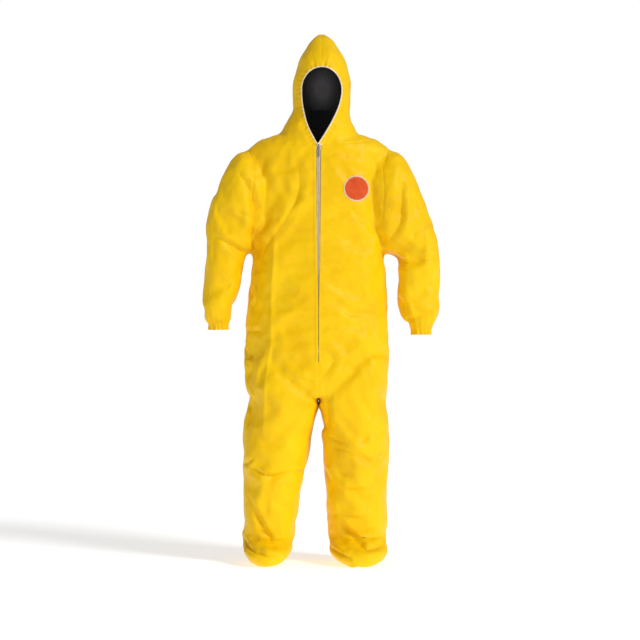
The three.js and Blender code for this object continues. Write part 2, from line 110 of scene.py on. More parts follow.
# The neck seam climbs towards the back by a slope. The hood's middle line is off the suit's.
NECK_TILT, HOOD_MIDDLE = 0.33, 11
# The side seams run this far in front of the middle plane, as a place on Y.
SIDE_SEAM = -8


def front_at(z):
    return -(ZIP_TOP_FRONT + (ZIP_TOP - z) * ZIP_LEAN)


print("front at the waist", front_at(WAIST))

# %% [markdown]
# A garment's trunk, sleeve, leg and hood are all tubes whose section changes on the way. A loft says
# just that: a list of rings, each from an inner point to an outer point seen from the front, and from
# a front depth to a back depth. The exponents make a half of the ring round (2) or boxy (more).
# The rings are joined by a smooth curve rather than by straight lines, as stiff cloth would be.

# %% rings and lofts
def ring(inner, outer, front, back, square=(2.2, 2.2)):
    return [*inner, *outer, front, back, *square]


def level(z, low, high, front, back, square=(2.2, 2.2)):
    return ring((low, z), (high, z), front, back, square)


def catmull(rows, steps):
    """A smooth curve through the rows, with so many steps between each two of them."""
    rows = np.array(rows, float)
    longer = np.vstack([2 * rows[0] - rows[1], rows, 2 * rows[-1] - rows[-2]])
    out = []
    for i in range(len(rows) - 1):
        a, b, c, d = longer[i:i + 4]
        for t in np.arange(steps) / steps:
            out.append(b + 0.4 * t * (c - a) + t * t * (3 * (c - b) - 0.8 * (c - a) - 0.4 * (d - b))
                       + t ** 3 * (2 * (b - c) + 0.4 * (c - a) + 0.4 * (d - b)))
    return np.array(out + [rows[-1]])


def loft(rings, sides=72, steps=5, mirrored=False):
    """Vertices and faces of a closed tube through its rings, in metres."""
    verts, faces = [], []
    angle = np.arange(sides) / sides * 2 * math.pi
    cos, sin = np.cos(angle), np.sin(angle)
    rows = catmull(rings, steps)
    for ix, iz, ox, oz, front, back, inner_square, outer_square in rows:
        exponent = 2 / np.where(cos < 0, inner_square, outer_square)
        u = np.sign(cos) * np.abs(cos) ** exponent / 2
        v = np.sign(sin) * np.abs(sin) ** exponent / 2
        x = (ix + ox) / 2 + (ox - ix) * u
        z = (iz + oz) / 2 + (oz - iz) * u
        verts.append(np.stack([-x if mirrored else x, (front + back) / 2 + (back - front) * v, z], 1))
    for i in range(len(rows) - 1):
        for j in range(sides):
            k = (j + 1) % sides
            faces.append((i * sides + j, i * sides + k, (i + 1) * sides + k, (i + 1) * sides + j))
    faces.append(tuple(range(sides)))
    faces.append(tuple(range(len(rows) * sides - sides, len(rows) * sides))[::-1])
    return metres(np.vstack(verts)), faces


print("a ring is", ring((0, 0), (1, 0), -1, 1))

# %% [markdown]
# The trunk is widest at the hips and boxy at the chest. It hangs a little towards the wearer's right.

# %% trunk
def trunk_level(z, half, back, square=(2.2, 2.2), sway=0.0):
    return level(z, -half - sway, half - sway, front_at(z), back, square)


trunk_rings = [
    level(CROTCH, -156, 156, front_at(CROTCH) + 16, 118),
    trunk_level(649, 234, 132, sway=7),
    trunk_level(HIP, 252, 134, sway=7),
    trunk_level(WAIST, 244, 126, sway=5),
    trunk_level(ARMPIT, 228, 118, (2.5, 2.5)),
    trunk_level(1284, 232, 114, (2.4, 2.4)),
    trunk_level(SHOULDER - 34, 249, 104, (2.1, 2.1)),
    trunk_level(SHOULDER, 249, 98, (2, 2)),
    trunk_level(1456, 227, 94, (1.9, 1.9)),
    level(NECK - 10, -197, 197, -95, 86, (1.8, 1.8)),
    level(NECK + 12, -125, 125, -77, 80),
]
print(len(trunk_rings), "trunk rings")

# %% [markdown]
# The two sleeves hang differently: the wearer's right one is slimmer and ends higher. Both are wide
# at the elbow, where they stand out from the arm, and close to a narrow gathered cuff.

# %% sleeves
SLEEVE = {
    "left": dict(hem=792, elbow=350, elbow_width=160, arm=350, arm_width=148, cuff=358),
    "right": dict(hem=809, elbow=329, elbow_width=150, arm=345, arm_width=118, cuff=348),
}
ELBOW = SHOULDER - 402
CUFF_TAIL = 24


def sleeve_rings(s):
    hem, cuff = s["hem"], s["cuff"]
    elbow_in, elbow_out = s["elbow"] - s["elbow_width"] / 2, s["elbow"] + s["elbow_width"] / 2
    arm_in, arm_out = s["arm"] - s["arm_width"] / 2, s["arm"] + s["arm_width"] / 2
    forearm = (ELBOW + hem) / 2
    return [
        ring((156, ARMPIT + 70), (156, SHOULDER - 25), -72, 62),
        ring((222, ARMPIT + 2), (262, SHOULDER - 5), -104, 94),
        ring((228, ARMPIT - 6), (305, SHOULDER - 35), -104, 94),
        ring((240, ARMPIT - 8), (348, SHOULDER - 112), -101, 89),
        ring((251, ARMPIT - 12), (379, SHOULDER - 188), -96, 84),
        ring((elbow_in + 3, ARMPIT - 26), ((377 + elbow_out) / 2, SHOULDER - 258), -92, 78),
        ring((elbow_in + 8, ELBOW + 14), (elbow_out - 12, SHOULDER - 328), -89, 73),
        ring(((elbow_in + arm_in) / 2 + 5, ELBOW - 64), (elbow_out - 3, ELBOW - 58), -87, 66),
        ring((arm_in + 2, forearm + 4), (arm_out, forearm + 2), -88, 58),
        ring((arm_in + 12, hem + 80), (arm_out - 5, hem + 76), -86, 46),
        level(hem + 42, cuff - 45, cuff + 48, -78, 28),
        level(hem + 20, cuff - 37, cuff + 37, -64, 8),
        level(hem, cuff - 35, cuff + 35, -62, 6),
        level(hem - CUFF_TAIL, cuff - 35, cuff + 35, -62, 6),
    ]


print("elbow", ELBOW, "mm above the soles")

# %% [markdown]
# The legs fall almost straight and end in closed socks that are wider than a foot, so that a boot's
# shaft fits over them. The two legs nearly touch below the crotch. They are kept apart by SPREAD
# while the skin is made, so that it can't close the gap, and are brought back afterwards.

# %% legs and socks
LEG = {
    "left": dict(hip=245, calf=212, ankle=207, stance=138, toe_out=6, foot=168),
    "right": dict(hip=259, calf=194, ankle=178, stance=175, toe_out=2, foot=132),
}
SPREAD = 16
KNEE, CALF, ANKLE = 385, 235, 100


def leg_rings(s):
    hip_out, stance, calf, ankle = s["hip"], s["stance"], s["calf"], s["ankle"]
    hip_middle = (hip_out + 6) / 2
    toe_middle = stance + s["toe_out"]

    def middle(z):
        return stance + (hip_middle - stance) * (z - ANKLE) / (CROTCH - ANKLE)

    def tube(z, width, front, back, rise=0.0):
        return ring((middle(z) - width / 2, z - rise), (middle(z) + width / 2, z + rise), front, back)

    def foot(z, x, width, front, back):
        return level(z, x - width / 2, x + width / 2, front, back, (2.4, 2.4))

    return [
        ring((32, CROTCH + 88), (hip_out - 38, HIP + 52), -120, 105),
        ring((6, CROTCH), (hip_out - 1, HIP), front_at(HIP) + 5, 131, (4.5, 2.2)),
        ring((7 + SPREAD, CROTCH - 48), (hip_out - 3, HIP - 78), -150, 129, (3.6, 2.2)),
        ring((10 + SPREAD, CROTCH - 104), (hip_middle + 112.5, CROTCH - 4), -146, 124, (2.8, 2.2)),
        tube((CROTCH + KNEE) / 2 - 15, 233, -140, 119, 20),
        tube(KNEE, 226, -133, 113),
        tube((KNEE + CALF) / 2, (226 + calf) / 2, -126, 108),
        tube(CALF, calf, -116, 102),
        tube(143, ankle + 3, -104, 94),
        tube(ANKLE, ankle, -100, 90),
        foot(70, stance, ankle - 10, -134, 90),
        foot(44, stance + s["toe_out"] / 2, s["foot"] + 34, -177, 84),
        foot(16, toe_middle, s["foot"], -181, 81),
        foot(0, toe_middle, s["foot"] * 0.66, -165, 67),
    ]


print("knee", KNEE, "mm above the soles")

# %% [markdown]
# The hood is a bag with a soft peak, which leans a little towards the wearer's left.

# %% hood
def hood_level(rise, half, lean, front, back):
    return level(NECK + rise, lean - half, lean + half, -front, back)


hood_rings = [
    hood_level(-65, 112, 2, 93, 76), hood_level(-16, 130, 2, 108, 98),
    hood_level(23, 128, 2, 108, 104), hood_level(58, 110, 3.3, 110, 116),
    hood_level(93, 100, 10, 110, 128), hood_level(185, 102, 12, 110, 146),
    hood_level(233, 90, 14, 106, 143), hood_level(268, 81, 13, 96, 132),
    hood_level(303, 60, 13, 72, 105), hood_level(338, 37, 13, 36, 62),
    hood_level(359, 8, 12, 6, 26),
]
print("hood's peak", NECK + 359, "mm above the soles")

# %% [markdown]
# All the tubes are joined into one skin. Boolean unions would leave long thin faces where they meet,
# which wrinkle badly. A voxel remesh joins overlapping closed shapes and gives even squares, about as
# large as the smallest fold, and a little smoothing takes the steps out of it.

# %% one skin
SKIN_GRAIN = 0.0085


def linked(name, mesh):
    made = bpy.data.objects.new(name, mesh)
    bpy.context.scene.collection.objects.link(made)
    return made


def object_of(name, verts, faces):
    mesh = bpy.data.meshes.new(name)
    mesh.from_pydata(np.asarray(verts).tolist(), [], [tuple(f) for f in np.asarray(faces).tolist()]
                     if isinstance(faces, np.ndarray) else faces)
    mesh.update()
    return linked(name, mesh)


def faces_out(made):
    work = bmesh.new()
    work.from_mesh(made.data)
    bmesh.ops.recalc_face_normals(work, faces=work.faces)
    work.to_mesh(made.data)
    work.free()
    return made


def applied(made):
    """A plain mesh of an object with its modifiers, in place of the old one."""
    bpy.context.view_layer.update()
    evaluated = made.evaluated_get(bpy.context.evaluated_depsgraph_get())
    mesh = bpy.data.meshes.new_from_object(evaluated)
    made.modifiers.clear()
    old, made.data = made.data, mesh
    bpy.data.meshes.remove(old)
    return made


def remeshed(made, grain):
    remesh = made.modifiers.new("remesh", "REMESH")
    remesh.mode = "VOXEL"
    remesh.voxel_size = grain


def positions(mesh):
    out = np.zeros(len(mesh.vertices) * 3, np.float32)
    mesh.vertices.foreach_get("co", out)
    return out.reshape(-1, 3).astype(float)


tubes = [loft(trunk_rings, 96), loft(hood_rings)]
for hand, mirrored in (("left", False), ("right", True)):
    tubes.append(loft(sleeve_rings(SLEEVE[hand]), mirrored=mirrored))
    tubes.append(loft(leg_rings(LEG[hand]), mirrored=mirrored))
all_verts, all_faces, start = [], [], 0
for tube_verts, tube_faces in tubes:
    all_verts.append(tube_verts)
    all_faces += [tuple(i + start for i in f) for f in tube_faces]
    start += len(tube_verts)
skin = faces_out(object_of("skin", np.vstack(all_verts), all_faces))
remeshed(skin, SKIN_GRAIN)
even = skin.modifiers.new("even", "SMOOTH")
even.iterations = 6
applied(skin)
print("skin", len(skin.data.vertices), "points")

# %% [markdown]
# The cloth is a stiff laminate, so it falls in a few broad folds and sharp dents rather than in many
# ripples. A cloth simulation finds where it buckles. It runs on a coarse copy of the skin, whose
# squares can't fold any smaller than the real laminate does: the copy is let grow a little, is held
# softly to the shape that a wearer gives it, and its moves are then handed on to the fine skin.

# %% hang a coarse copy of the cloth
def hold_of(points):
    """How firmly the wearer holds the cloth: at the shoulders, hood and zip, and on the floor."""
    x, y, z = np.abs(points[:, 0]), points[:, 1], points[:, 2]
    hold = 0.30 + 0.6 * smooth(z, 1395, 1440) + 0.5 * smooth(110 - z, 0, 100)
    hold += 0.6 * (x > 290) * smooth(870 - z, 0, 60) * (z > 700)
    return np.clip(hold + 0.8 * smooth(40 - x, 0, 26) * smooth(-y, 20, 60), 0, 1)


def hung(fine, frames=20, grain=0.017, most=0.014, sideways=0.4):
    """The fine skin's points, moved as a coarse copy of it moves when it is let hang.

    No point moves by more than most, and only a share of each sideways move is kept, so that the
    suit stays as wide as it is."""
    coarse = object_of("coarse", positions(fine.data), [tuple(p.vertices) for p in fine.data.polygons])
    remeshed(coarse, grain)
    applied(coarse)
    before = positions(coarse.data)
    group = coarse.vertex_groups.new(name="hold")
    for i, w in enumerate(hold_of(tailor(before)).tolist()):
        group.add([i], w, "REPLACE")
    settings = coarse.modifiers.new("cloth", "CLOTH").settings
    settings.quality = 5
    settings.mass = 0.3
    settings.tension_stiffness = settings.compression_stiffness = 25
    settings.shear_stiffness = 15
    settings.bending_stiffness = 1.0
    settings.shrink_min = -0.07
    settings.vertex_group_mass = "hold"
    settings.pin_stiffness = 0.25
    settings.effector_weights.gravity = 0.5
    coarse.modifiers["cloth"].collision_settings.use_collision = False
    coarse.modifiers["cloth"].point_cache.frame_end = frames + 2
    for number in range(1, frames + 1):
        bpy.context.scene.frame_set(number)
    evaluated = coarse.evaluated_get(bpy.context.evaluated_depsgraph_get())
    moves = positions(evaluated.data) - before
    bpy.context.scene.frame_set(1)
    length = np.linalg.norm(moves, axis=1, keepdims=True)
    moves[:, 0] *= sideways
    moves *= np.minimum(1, most / np.maximum(length, 1e-9))
    bpy.data.objects.remove(coarse)
    tree = KDTree(len(before))
    for i, co in enumerate(before.tolist()):
        tree.insert(co, i)
    tree.balance()
    points = positions(fine.data)
    out = points.copy()
    for i, co in enumerate(points.tolist()):
        near = tree.find_n(co, 6)
        weights = np.array([math.exp(-(n[2] / (0.75 * grain)) ** 2) for n in near])
        out[i] += weights @ moves[[n[1] for n in near]] / weights.sum()
    print("cloth moved", round(float(length.mean()) / MM, 1), "mm on average, most", length.max())
    return out


skin_points = hung(skin)

# %% [markdown]
# One round of subdivision makes the skin fine enough for seams and small creases. From here on it is
# kept as plain arrays of points and triangles, since thousands of points move by the same rule.

# %% fine skin as arrays
skin.data.vertices.foreach_set("co", skin_points.ravel())
finer = skin.modifiers.new("finer", "SUBSURF")
finer.levels = finer.render_levels = 1
applied(skin)
P = positions(skin.data)
quads = np.array([tuple(p.vertices) for p in skin.data.polygons])
T = np.vstack([quads[:, [0, 1, 2]], quads[:, [0, 2, 3]]])
bpy.data.objects.remove(skin)


def normals_of(points, triangles):
    a, b, c = points[triangles[:, 0]], points[triangles[:, 1]], points[triangles[:, 2]]
    across = np.cross(b - a, c - a)
    out = np.zeros_like(points)
    for corner in range(3):
        np.add.at(out, triangles[:, corner], across)
    return out / np.maximum(np.linalg.norm(out, axis=1, keepdims=True), 1e-12)


def bumps(points, size, seed):
    """Even noise from -1 to 1 at points in millimetres, whose bumps are about size across."""
    scaled = np.asarray(points) / size
    cell = np.floor(scaled).astype(np.int64)
    u = scaled - cell
    u = u * u * (3 - 2 * u)
    table = np.random.default_rng(seed).uniform(-1, 1, 4096)
    total = 0
    for corner in range(8):
        step = np.array([corner & 1, corner >> 1 & 1, corner >> 2 & 1])
        weight = np.prod(np.where(step, u, 1 - u), axis=1)
        i, j, k = (cell + step).T
        total = total + weight * table[(i * 73856093 ^ j * 19349663 ^ k * 83492791) & 4095]
    return total


print(len(P), "points", len(T), "triangles")

# %% [markdown]
# The legs come back together below the crotch, and the front is drawn to the straight line that the
# zip runs along.

# %% close the legs and true the front
Q = tailor(P)
inner = smooth(95 - np.abs(Q[:, 0]), 0, 80)
inner *= smooth(CROTCH + 6 - Q[:, 2], 0, 40) * smooth(Q[:, 2], 410, 530)
Q[:, 0] -= np.sign(Q[:, 0]) * SPREAD * inner * np.clip(np.abs(Q[:, 0]) / 18, 0, 1)
near_zip = (np.abs(Q[:, 0]) < 10) & (Q[:, 1] < -40) & (Q[:, 2] > CROTCH) & (Q[:, 2] < NECK)
steps = np.arange(CROTCH, NECK, 20)
at_step = [np.mean(Q[near_zip & (np.abs(Q[:, 2] - z) < 14), 1]) for z in steps]
off = front_at(Q[:, 2]) - np.interp(Q[:, 2], steps, at_step)
trued = smooth(Q[:, 2], 640, 690) * smooth(ZIP_TOP + 30 - Q[:, 2], 0, 20) * (Q[:, 1] < -30)
Q[:, 1] += off * trued * np.exp(-(Q[:, 0] / 42) ** 2)
P = metres(Q)
print("front moved by at most", round(float(np.abs(off[near_zip]).max()), 1), "mm")

# %% [markdown]
# Each seam or edge is the zero line of a field, a number that every point of the skin has. The skin is
# split along such a line by adding a point wherever an edge crosses it. Both sides keep the same
# points, so no gap can open between two panels.

# %% splitting the skin along a line
def split_along(field, where):
    """Adds points to P and triangles to T where the field's zero line crosses triangles in where."""
    global P, T
    field = np.where(np.abs(field) < 0.25, 0.0, field)
    at = field[T]
    crossed = T[where & (at.min(1) < 0) & (at.max(1) > 0)]
    a, b = crossed.ravel(), np.roll(crossed, -1, axis=1).ravel()
    apart = field[a] * field[b] < 0
    count = len(P)
    keys = np.unique(np.minimum(a, b)[apart] * count + np.maximum(a, b)[apart])
    if not len(keys):
        return
    one, two = keys // count, keys % count
    share = (field[one] / (field[one] - field[two]))[:, None]
    P = np.vstack([P, P[one] + share * (P[two] - P[one])])
    new = np.full(T.shape, -1)
    for side in range(3):
        u, v = T[:, side], T[:, (side + 1) % 3]
        key = np.minimum(u, v) * count + np.maximum(u, v)
        place = np.minimum(np.searchsorted(keys, key), len(keys) - 1)
        new[:, side] = np.where(keys[place] == key, count + place, -1)
    hits = (new >= 0).sum(1)
    made = [T[hits == 0]]
    for side in range(3):
        turn = [(side + k) % 3 for k in range(3)]
        pick = (hits == 1) & (new[:, side] >= 0)
        (a, b, c), m = T[pick][:, turn].T, new[pick, side]
        made += [np.stack([a, m, c], 1), np.stack([m, b, c], 1)]
        pick = (hits == 2) & (new[:, turn[1]] < 0)
        (a, b, c), m, n = T[pick][:, turn].T, new[pick, turn[0]], new[pick, turn[2]]
        made += [np.stack([a, m, n], 1), np.stack([m, b, c], 1), np.stack([m, c, n], 1)]
    T = np.vstack(made)


def line_side(points, start, end):
    """Signed distance from a line seen from the front, above it positive."""
    along = np.subtract(end, start) / np.linalg.norm(np.subtract(end, start))
    across = np.array([-along[1], along[0]]) * np.sign(along[0])
    return (points[:, [0, 2]] - np.array(start)) @ across


def outline_side(points, outline):
    """Signed distance, negative inside, and the place along a closed outline seen from the front."""
    best = np.full(len(points), 1e9)
    place, inside, run = np.zeros(len(points)), np.zeros(len(points), bool), 0.0
    x, z = points[:, 0], points[:, 2]
    for (ax, az), (bx, bz) in zip(outline, np.roll(outline, -1, axis=0)):
        length = math.hypot(bx - ax, bz - az)
        t = np.clip(((x - ax) * (bx - ax) + (z - az) * (bz - az)) / length ** 2, 0, 1)
        d = np.hypot(x - ax - t * (bx - ax), z - az - t * (bz - az))
        place = np.where(d < best, run + t * length, place)
        best = np.minimum(best, d)
        inside ^= ((az > z) != (bz > z)) & (x < (bx - ax) * (z - az) / (bz - az + 1e-12) + ax)
        run += length
    return np.where(inside, -best, best), place


print("ready to split", len(T), "triangles")

# %% [markdown]
# These are the suit's own lines. The armhole runs from the shoulder point down to the armpit. The legs
# are joined on a slant that climbs from the crotch to the hips. The hood stands on a neck seam that
# climbs towards the back, and its face opening is a drop with its point at the zip's top.

# %% the suit's lines
ARMHOLE_Z = [300, 700, 800, 880, 950, 1035, 1060, 1097, 1186, 1280, 1372, 1445, 1700]
ARMHOLE_X = [300, 300, 290, 268, 256, 245, 236, 232, 221, 227, 222, 247, 247]
SLOT_Z = [600, 905, 1053, 1250, ZIP_TOP]
SLOT_HALF = [1.1, 1.3, 5.0, 7.2, 8.4]
SHIN_CUT, SOCK_CUT = 440, 150
ZIP_BOTTOM = ZIP_TOP - ZIP_LENGTH


def bezier(a, b, c, d, count=22):
    t = (np.arange(count) / count)[:, None]
    a, b, c, d = map(np.array, (a, b, c, d))
    return (1 - t) ** 3 * a + 3 * t * (1 - t) ** 2 * b + 3 * t * t * (1 - t) * c + t ** 3 * d


def opening(grow):
    top, wide, brow = NECK + 230 + grow, 68 + grow, NECK + 156.6
    tip = ZIP_TOP - grow * 2.2
    left, right = HOOD_MIDDLE + wide, HOOD_MIDDLE - wide
    return np.vstack([
        bezier((-2, tip), (40 + grow, tip + 66), (left, brow - 62), (left, brow)),
        bezier((left, brow), (left, brow + 42), (HOOD_MIDDLE + wide * 0.55, top), (HOOD_MIDDLE, top)),
        bezier((HOOD_MIDDLE, top), (HOOD_MIDDLE - wide * 0.55, top), (right, brow + 42), (right, brow)),
        bezier((right, brow), (right, brow - 74), (-38 - grow, tip + 52), (-2, tip)),
    ])


def sleeve_cut(points, hand):
    s = SLEEVE[hand]
    sign = 1 if hand == "left" else -1
    return line_side(points, (sign * (s["elbow"] - s["elbow_width"] / 2 - 4), ELBOW + 10),
                     (sign * (s["elbow"] + s["elbow_width"] / 2 - 10), SHOULDER - 328))


def armhole(points):
    return np.abs(points[:, 0]) - np.interp(points[:, 2], ARMHOLE_Z, ARMHOLE_X)


def leg_seam(points):
    return points[:, 2] - (CROTCH + 0.3 + 145 / 252 * np.abs(points[:, 0]))


def neck_seam(points):
    return points[:, 2] - NECK - NECK_TILT * points[:, 1]


def slot_side(points):
    return np.abs(points[:, 0]) - np.interp(points[:, 2], SLOT_Z, SLOT_HALF)


def face_side(points, grow):
    out = np.full(len(points), 500.0)
    near = (points[:, 1] < -20) & (points[:, 2] > 1400)
    out[near] = outline_side(points[near], opening(grow))[0]
    return out


print("the zip ends", round(ZIP_BOTTOM), "mm above the soles")

# %% [markdown]
# The cuts come in the order of sewing: armholes, neck, legs, sides, then the zip's slot and the face
# opening, and last the lines where a leg or a sleeve bends. Every cut is kept to its own part of the
# skin by the second rule.

# %% split the skin into panels
TAPE_SIDE = 3.0


def middles():
    return tailor(P)[T].mean(1)


def split(make_field, where):
    split_along(make_field(tailor(P)), where(middles()))


split(armhole, lambda m: (m[:, 2] > 700) & (m[:, 2] < 1480))
split(neck_seam, lambda m: (m[:, 2] > 1400) & (np.abs(m[:, 0]) < 240))
split(leg_seam, lambda m: (np.abs(m[:, 0]) < 290) & (armhole(m) < 0))
split(lambda q: q[:, 0], lambda m: (m[:, 2] < ZIP_BOTTOM) & (np.abs(m[:, 0]) < 30))
split(lambda q: q[:, 1] - SIDE_SEAM,
      lambda m: (armhole(m) < 2) & (neck_seam(m) < 2) & (leg_seam(m) > -2))
split(slot_side, lambda m: (m[:, 1] < -30) & (m[:, 2] > ZIP_BOTTOM - 2) & (m[:, 2] < 1480))
split(lambda q: q[:, 2] - ZIP_BOTTOM, lambda m: (np.abs(m[:, 0]) < 12) & (m[:, 1] < -30))
split(lambda q: q[:, 0] - HOOD_MIDDLE, lambda m: neck_seam(m) > -2)
split(lambda q: face_side(q, TAPE_SIDE), lambda m: (m[:, 1] < -30) & (m[:, 2] > 1400))
split(lambda q: q[:, 2] - SHIN_CUT, lambda m: m[:, 2] < 600)
split(lambda q: q[:, 2] - SOCK_CUT, lambda m: m[:, 2] < 600)
for hand, s in SLEEVE.items():
    sign = 1 if hand == "left" else -1
    split(lambda q: sleeve_cut(q, hand), lambda m: armhole(m) * (sign * m[:, 0] > 0) > 0)
    split(lambda q: q[:, 2] - s["hem"], lambda m: (armhole(m) > 0) & (sign * m[:, 0] > 0))
print(len(P), "points", len(T), "triangles after the cuts")

# %% [markdown]
# Every triangle now belongs to one panel, which the place of its middle tells. The triangles inside
# the face opening and the zip's slot get no name, and so they are left out.

# %% name every triangle's panel
M = middles()
is_hood = neck_seam(M) > 0
is_arm = (armhole(M) > 0) & (M[:, 2] > 700) & ~is_hood
is_leg = (leg_seam(M) < 0) & ~is_arm
is_trunk = ~(is_hood | is_arm | is_leg)
in_face = (face_side(M, TAPE_SIDE) < 0) & (M[:, 1] < -30)
in_slot = is_trunk & (slot_side(M) < 0) & (M[:, 2] > ZIP_BOTTOM) & (M[:, 1] < -30)
panel = np.full(len(T), "", dtype="<U24")
panel[is_hood & (M[:, 0] > HOOD_MIDDLE)] = "hood_left"
panel[is_hood & (M[:, 0] < HOOD_MIDDLE)] = "hood_right"
panel[is_trunk & (M[:, 1] > SIDE_SEAM)] = "back"
panel[is_trunk & (M[:, 1] < SIDE_SEAM) & (M[:, 0] > 0)] = "left_front"
panel[is_trunk & (M[:, 1] < SIDE_SEAM) & (M[:, 0] < 0)] = "right_front"
for hand, sign in (("left", 1), ("right", -1)):
    arm = is_arm & (sign * M[:, 0] > 0)
    above = sleeve_cut(M, hand) > 0
    panel[arm & above] = hand + "_upper_sleeve"
    panel[arm & ~above & (M[:, 2] > SLEEVE[hand]["hem"])] = hand + "_lower_sleeve"
    leg = is_leg & (sign * M[:, 0] > 0)
    panel[leg & (M[:, 2] > SHIN_CUT)] = hand + "_thigh"
    panel[leg & (M[:, 2] < SHIN_CUT) & (M[:, 2] > SOCK_CUT)] = hand + "_shin"
    panel[leg & (M[:, 2] < SOCK_CUT)] = hand + "_sock"
panel[in_face | in_slot] = ""
whole_skin = (P.copy(), T.copy())
# The hood's triangles behind the face opening get a dark sheet, a painted shade for the hood's hollow.
shade_sheet_mask = is_hood & (neck_seam(M) > 62) & (face_side(M, 9) > 0)
shade_sheet_faces = T[shade_sheet_mask]
T, panel = T[panel != ""], panel[panel != ""]
for name in np.unique(panel):
    print(name, int((panel == name).sum()), "triangles")

# %% [markdown]
# Broad folds come from the simulation, but the sharp dents of a laminate are listed one by one, as a
# sculptor would press them in: each is a line seen from the front or the back, with a depth and a
# width. Its section is a narrow valley with a soft ridge along its upper side.

# %% press folds into the cloth
FRONT_FOLDS = [
    (3, 16, [(-64, 1736), (-57, 1650), (-60, 1564)]),
    (2, 12, [(-43, 1722), (-46, 1667), (-39, 1612)]),
    (2, 9, [(-19, 1750), (-12, 1712)]),
    (2, 9, [(26, 1750), (19, 1715)]),
    (13, 20, [(-276, 1351), (-239, 1296), (-221, 1238), (-221, 1186), (-232, 1112)]),
    (8, 22, [(-67, 1375), (-70, 1283), (-105, 1207), (-142, 1149), (-211, 1073)]),
    (6, 14, [(-249, 805), (-208, 805)]),
    (5, 24, [(2, 750), (50, 706), (12, 644)]),
    (4, 12, [(-88, 647), (-53, 637), (-22, 630)]),
    (7, 22, [(22, 623), (29, 541), (29, 441)]),
    (7, 20, [(36, 441), (98, 411), (160, 369)]),
    (9, 16, [(-352, 1132), (-304, 1101), (-259, 1077)]),
    (6, 12, [(-273, 1211), (-228, 1197)]),
    (9, 20, [(290, 1324), (287, 1245), (280, 1176), (245, 1121)]),
    (12, 18, [(249, 1077), (290, 1046), (324, 1042), (403, 1063)]),
    (9, 14, [(276, 926), (300, 888), (318, 840)]),
    (9, 12, [(-228, 362), (-259, 342)]),
    (10, 14, [(-242, 342), (-187, 311), (-149, 304), (-112, 318)]),
    (7, 10, [(-77, 314), (-43, 321)]),
    (10, 17, [(-239, 229), (-211, 167), (-187, 122), (-160, 77)]),
    (12, 13, [(-263, 84), (-239, 60), (-197, 47), (-129, 26)]),
    (8, 14, [(12, 335), (39, 287)]),
    (8, 18, [(53, 407), (125, 376), (197, 345)]),
    (8, 13, [(225, 386), (197, 352)]),
    (8, 15, [(84, 256), (132, 259), (184, 270)]),
    (5, 18, [(60, 320), (120, 300)]),
    (6, 17, [(50, 174), (146, 156)]),
    (10, 15, [(74, 146), (118, 98), (163, 60), (218, 67)]),
    (11, 11, [(43, 57), (108, 29)]),
    (8, 9, [(108, 12), (139, -1)]),
]
BACK_FOLDS = [
    (6, 26, [(-190, 1330), (-120, 1240), (-60, 1120)]),
    (6, 26, [(180, 1340), (130, 1230), (80, 1150)]),
    (6, 30, [(-200, 900), (-80, 860), (60, 850), (180, 890)]),
    (6, 26, [(-230, 760), (-140, 690), (-40, 640)]),
    (6, 26, [(225, 770), (150, 700), (50, 645)]),
    (7, 20, [(40, 420), (120, 395), (210, 410)]),
    (6, 18, [(60, 370), (130, 352), (200, 362)]),
    (7, 20, [(-50, 415), (-130, 392), (-220, 405)]),
    (6, 18, [(-70, 362), (-140, 348), (-210, 358)]),
    (6, 20, [(80, 200), (150, 170), (220, 190)]),
    (6, 20, [(-110, 195), (-180, 165), (-240, 185)]),
    (6, 18, [(-390, 1090), (-330, 1060), (-270, 1070)]),
    (6, 18, [(270, 1060), (330, 1050), (410, 1080)]),
    (3, 14, [(-50, 1640), (-30, 1560), (-40, 1500)]),
    (3, 14, [(70, 1650), (60, 1570), (50, 1500)]),
]


def press(points, normals, folds, facing):
    """Moves points that face the given way in or out by each fold's section."""
    turned = smooth(facing * normals[:, 1], -0.12, 0.3)
    moved = np.zeros(len(points))
    for depth, width, line in folds:
        line = catmull(line, 4)
        low, high = line.min(0) - 3.5 * width, line.max(0) + 3.5 * width
        near = np.flatnonzero((turned > 0) & (points[:, 0] > low[0]) & (points[:, 0] < high[0])
                              & (points[:, 2] > low[1]) & (points[:, 2] < high[1]))
        x, z = points[near, 0], points[near, 2]
        best, side, place = np.full(len(near), 1e9), np.zeros(len(near)), np.zeros(len(near))
        for i, ((ax, az), (bx, bz)) in enumerate(zip(line[:-1], line[1:])):
            along = np.array([bx - ax, bz - az])
            t = ((x - ax) * along[0] + (z - az) * along[1]) / (along @ along)
            inside = np.clip(t, 0, 1)
            d = np.hypot(x - ax - inside * along[0], z - az - inside * along[1])
            closer = d < best
            cross = (along[0] * (z - az) - along[1] * (x - ax)) / np.linalg.norm(along)
            side = np.where(closer, cross, side)
            place = np.where(closer, (i + inside) / (len(line) - 1), place)
            best = np.minimum(best, d)
        s = np.sign(side) * best / width * (1 + 0.25 * bumps(points[near], 40, 5))
        section = -np.exp(-np.abs(s / 0.5) ** 1.15) + 0.65 * np.exp(-((s - 1.1) / 0.7) ** 2) \
            + 0.35 * np.exp(-((s + 1.4) / 0.9) ** 2)
        ends = 0.25 + 0.75 * np.sin(np.clip(place, 0, 1) * math.pi) ** 0.6
        moved[near] += depth * section * ends
    return moved * turned


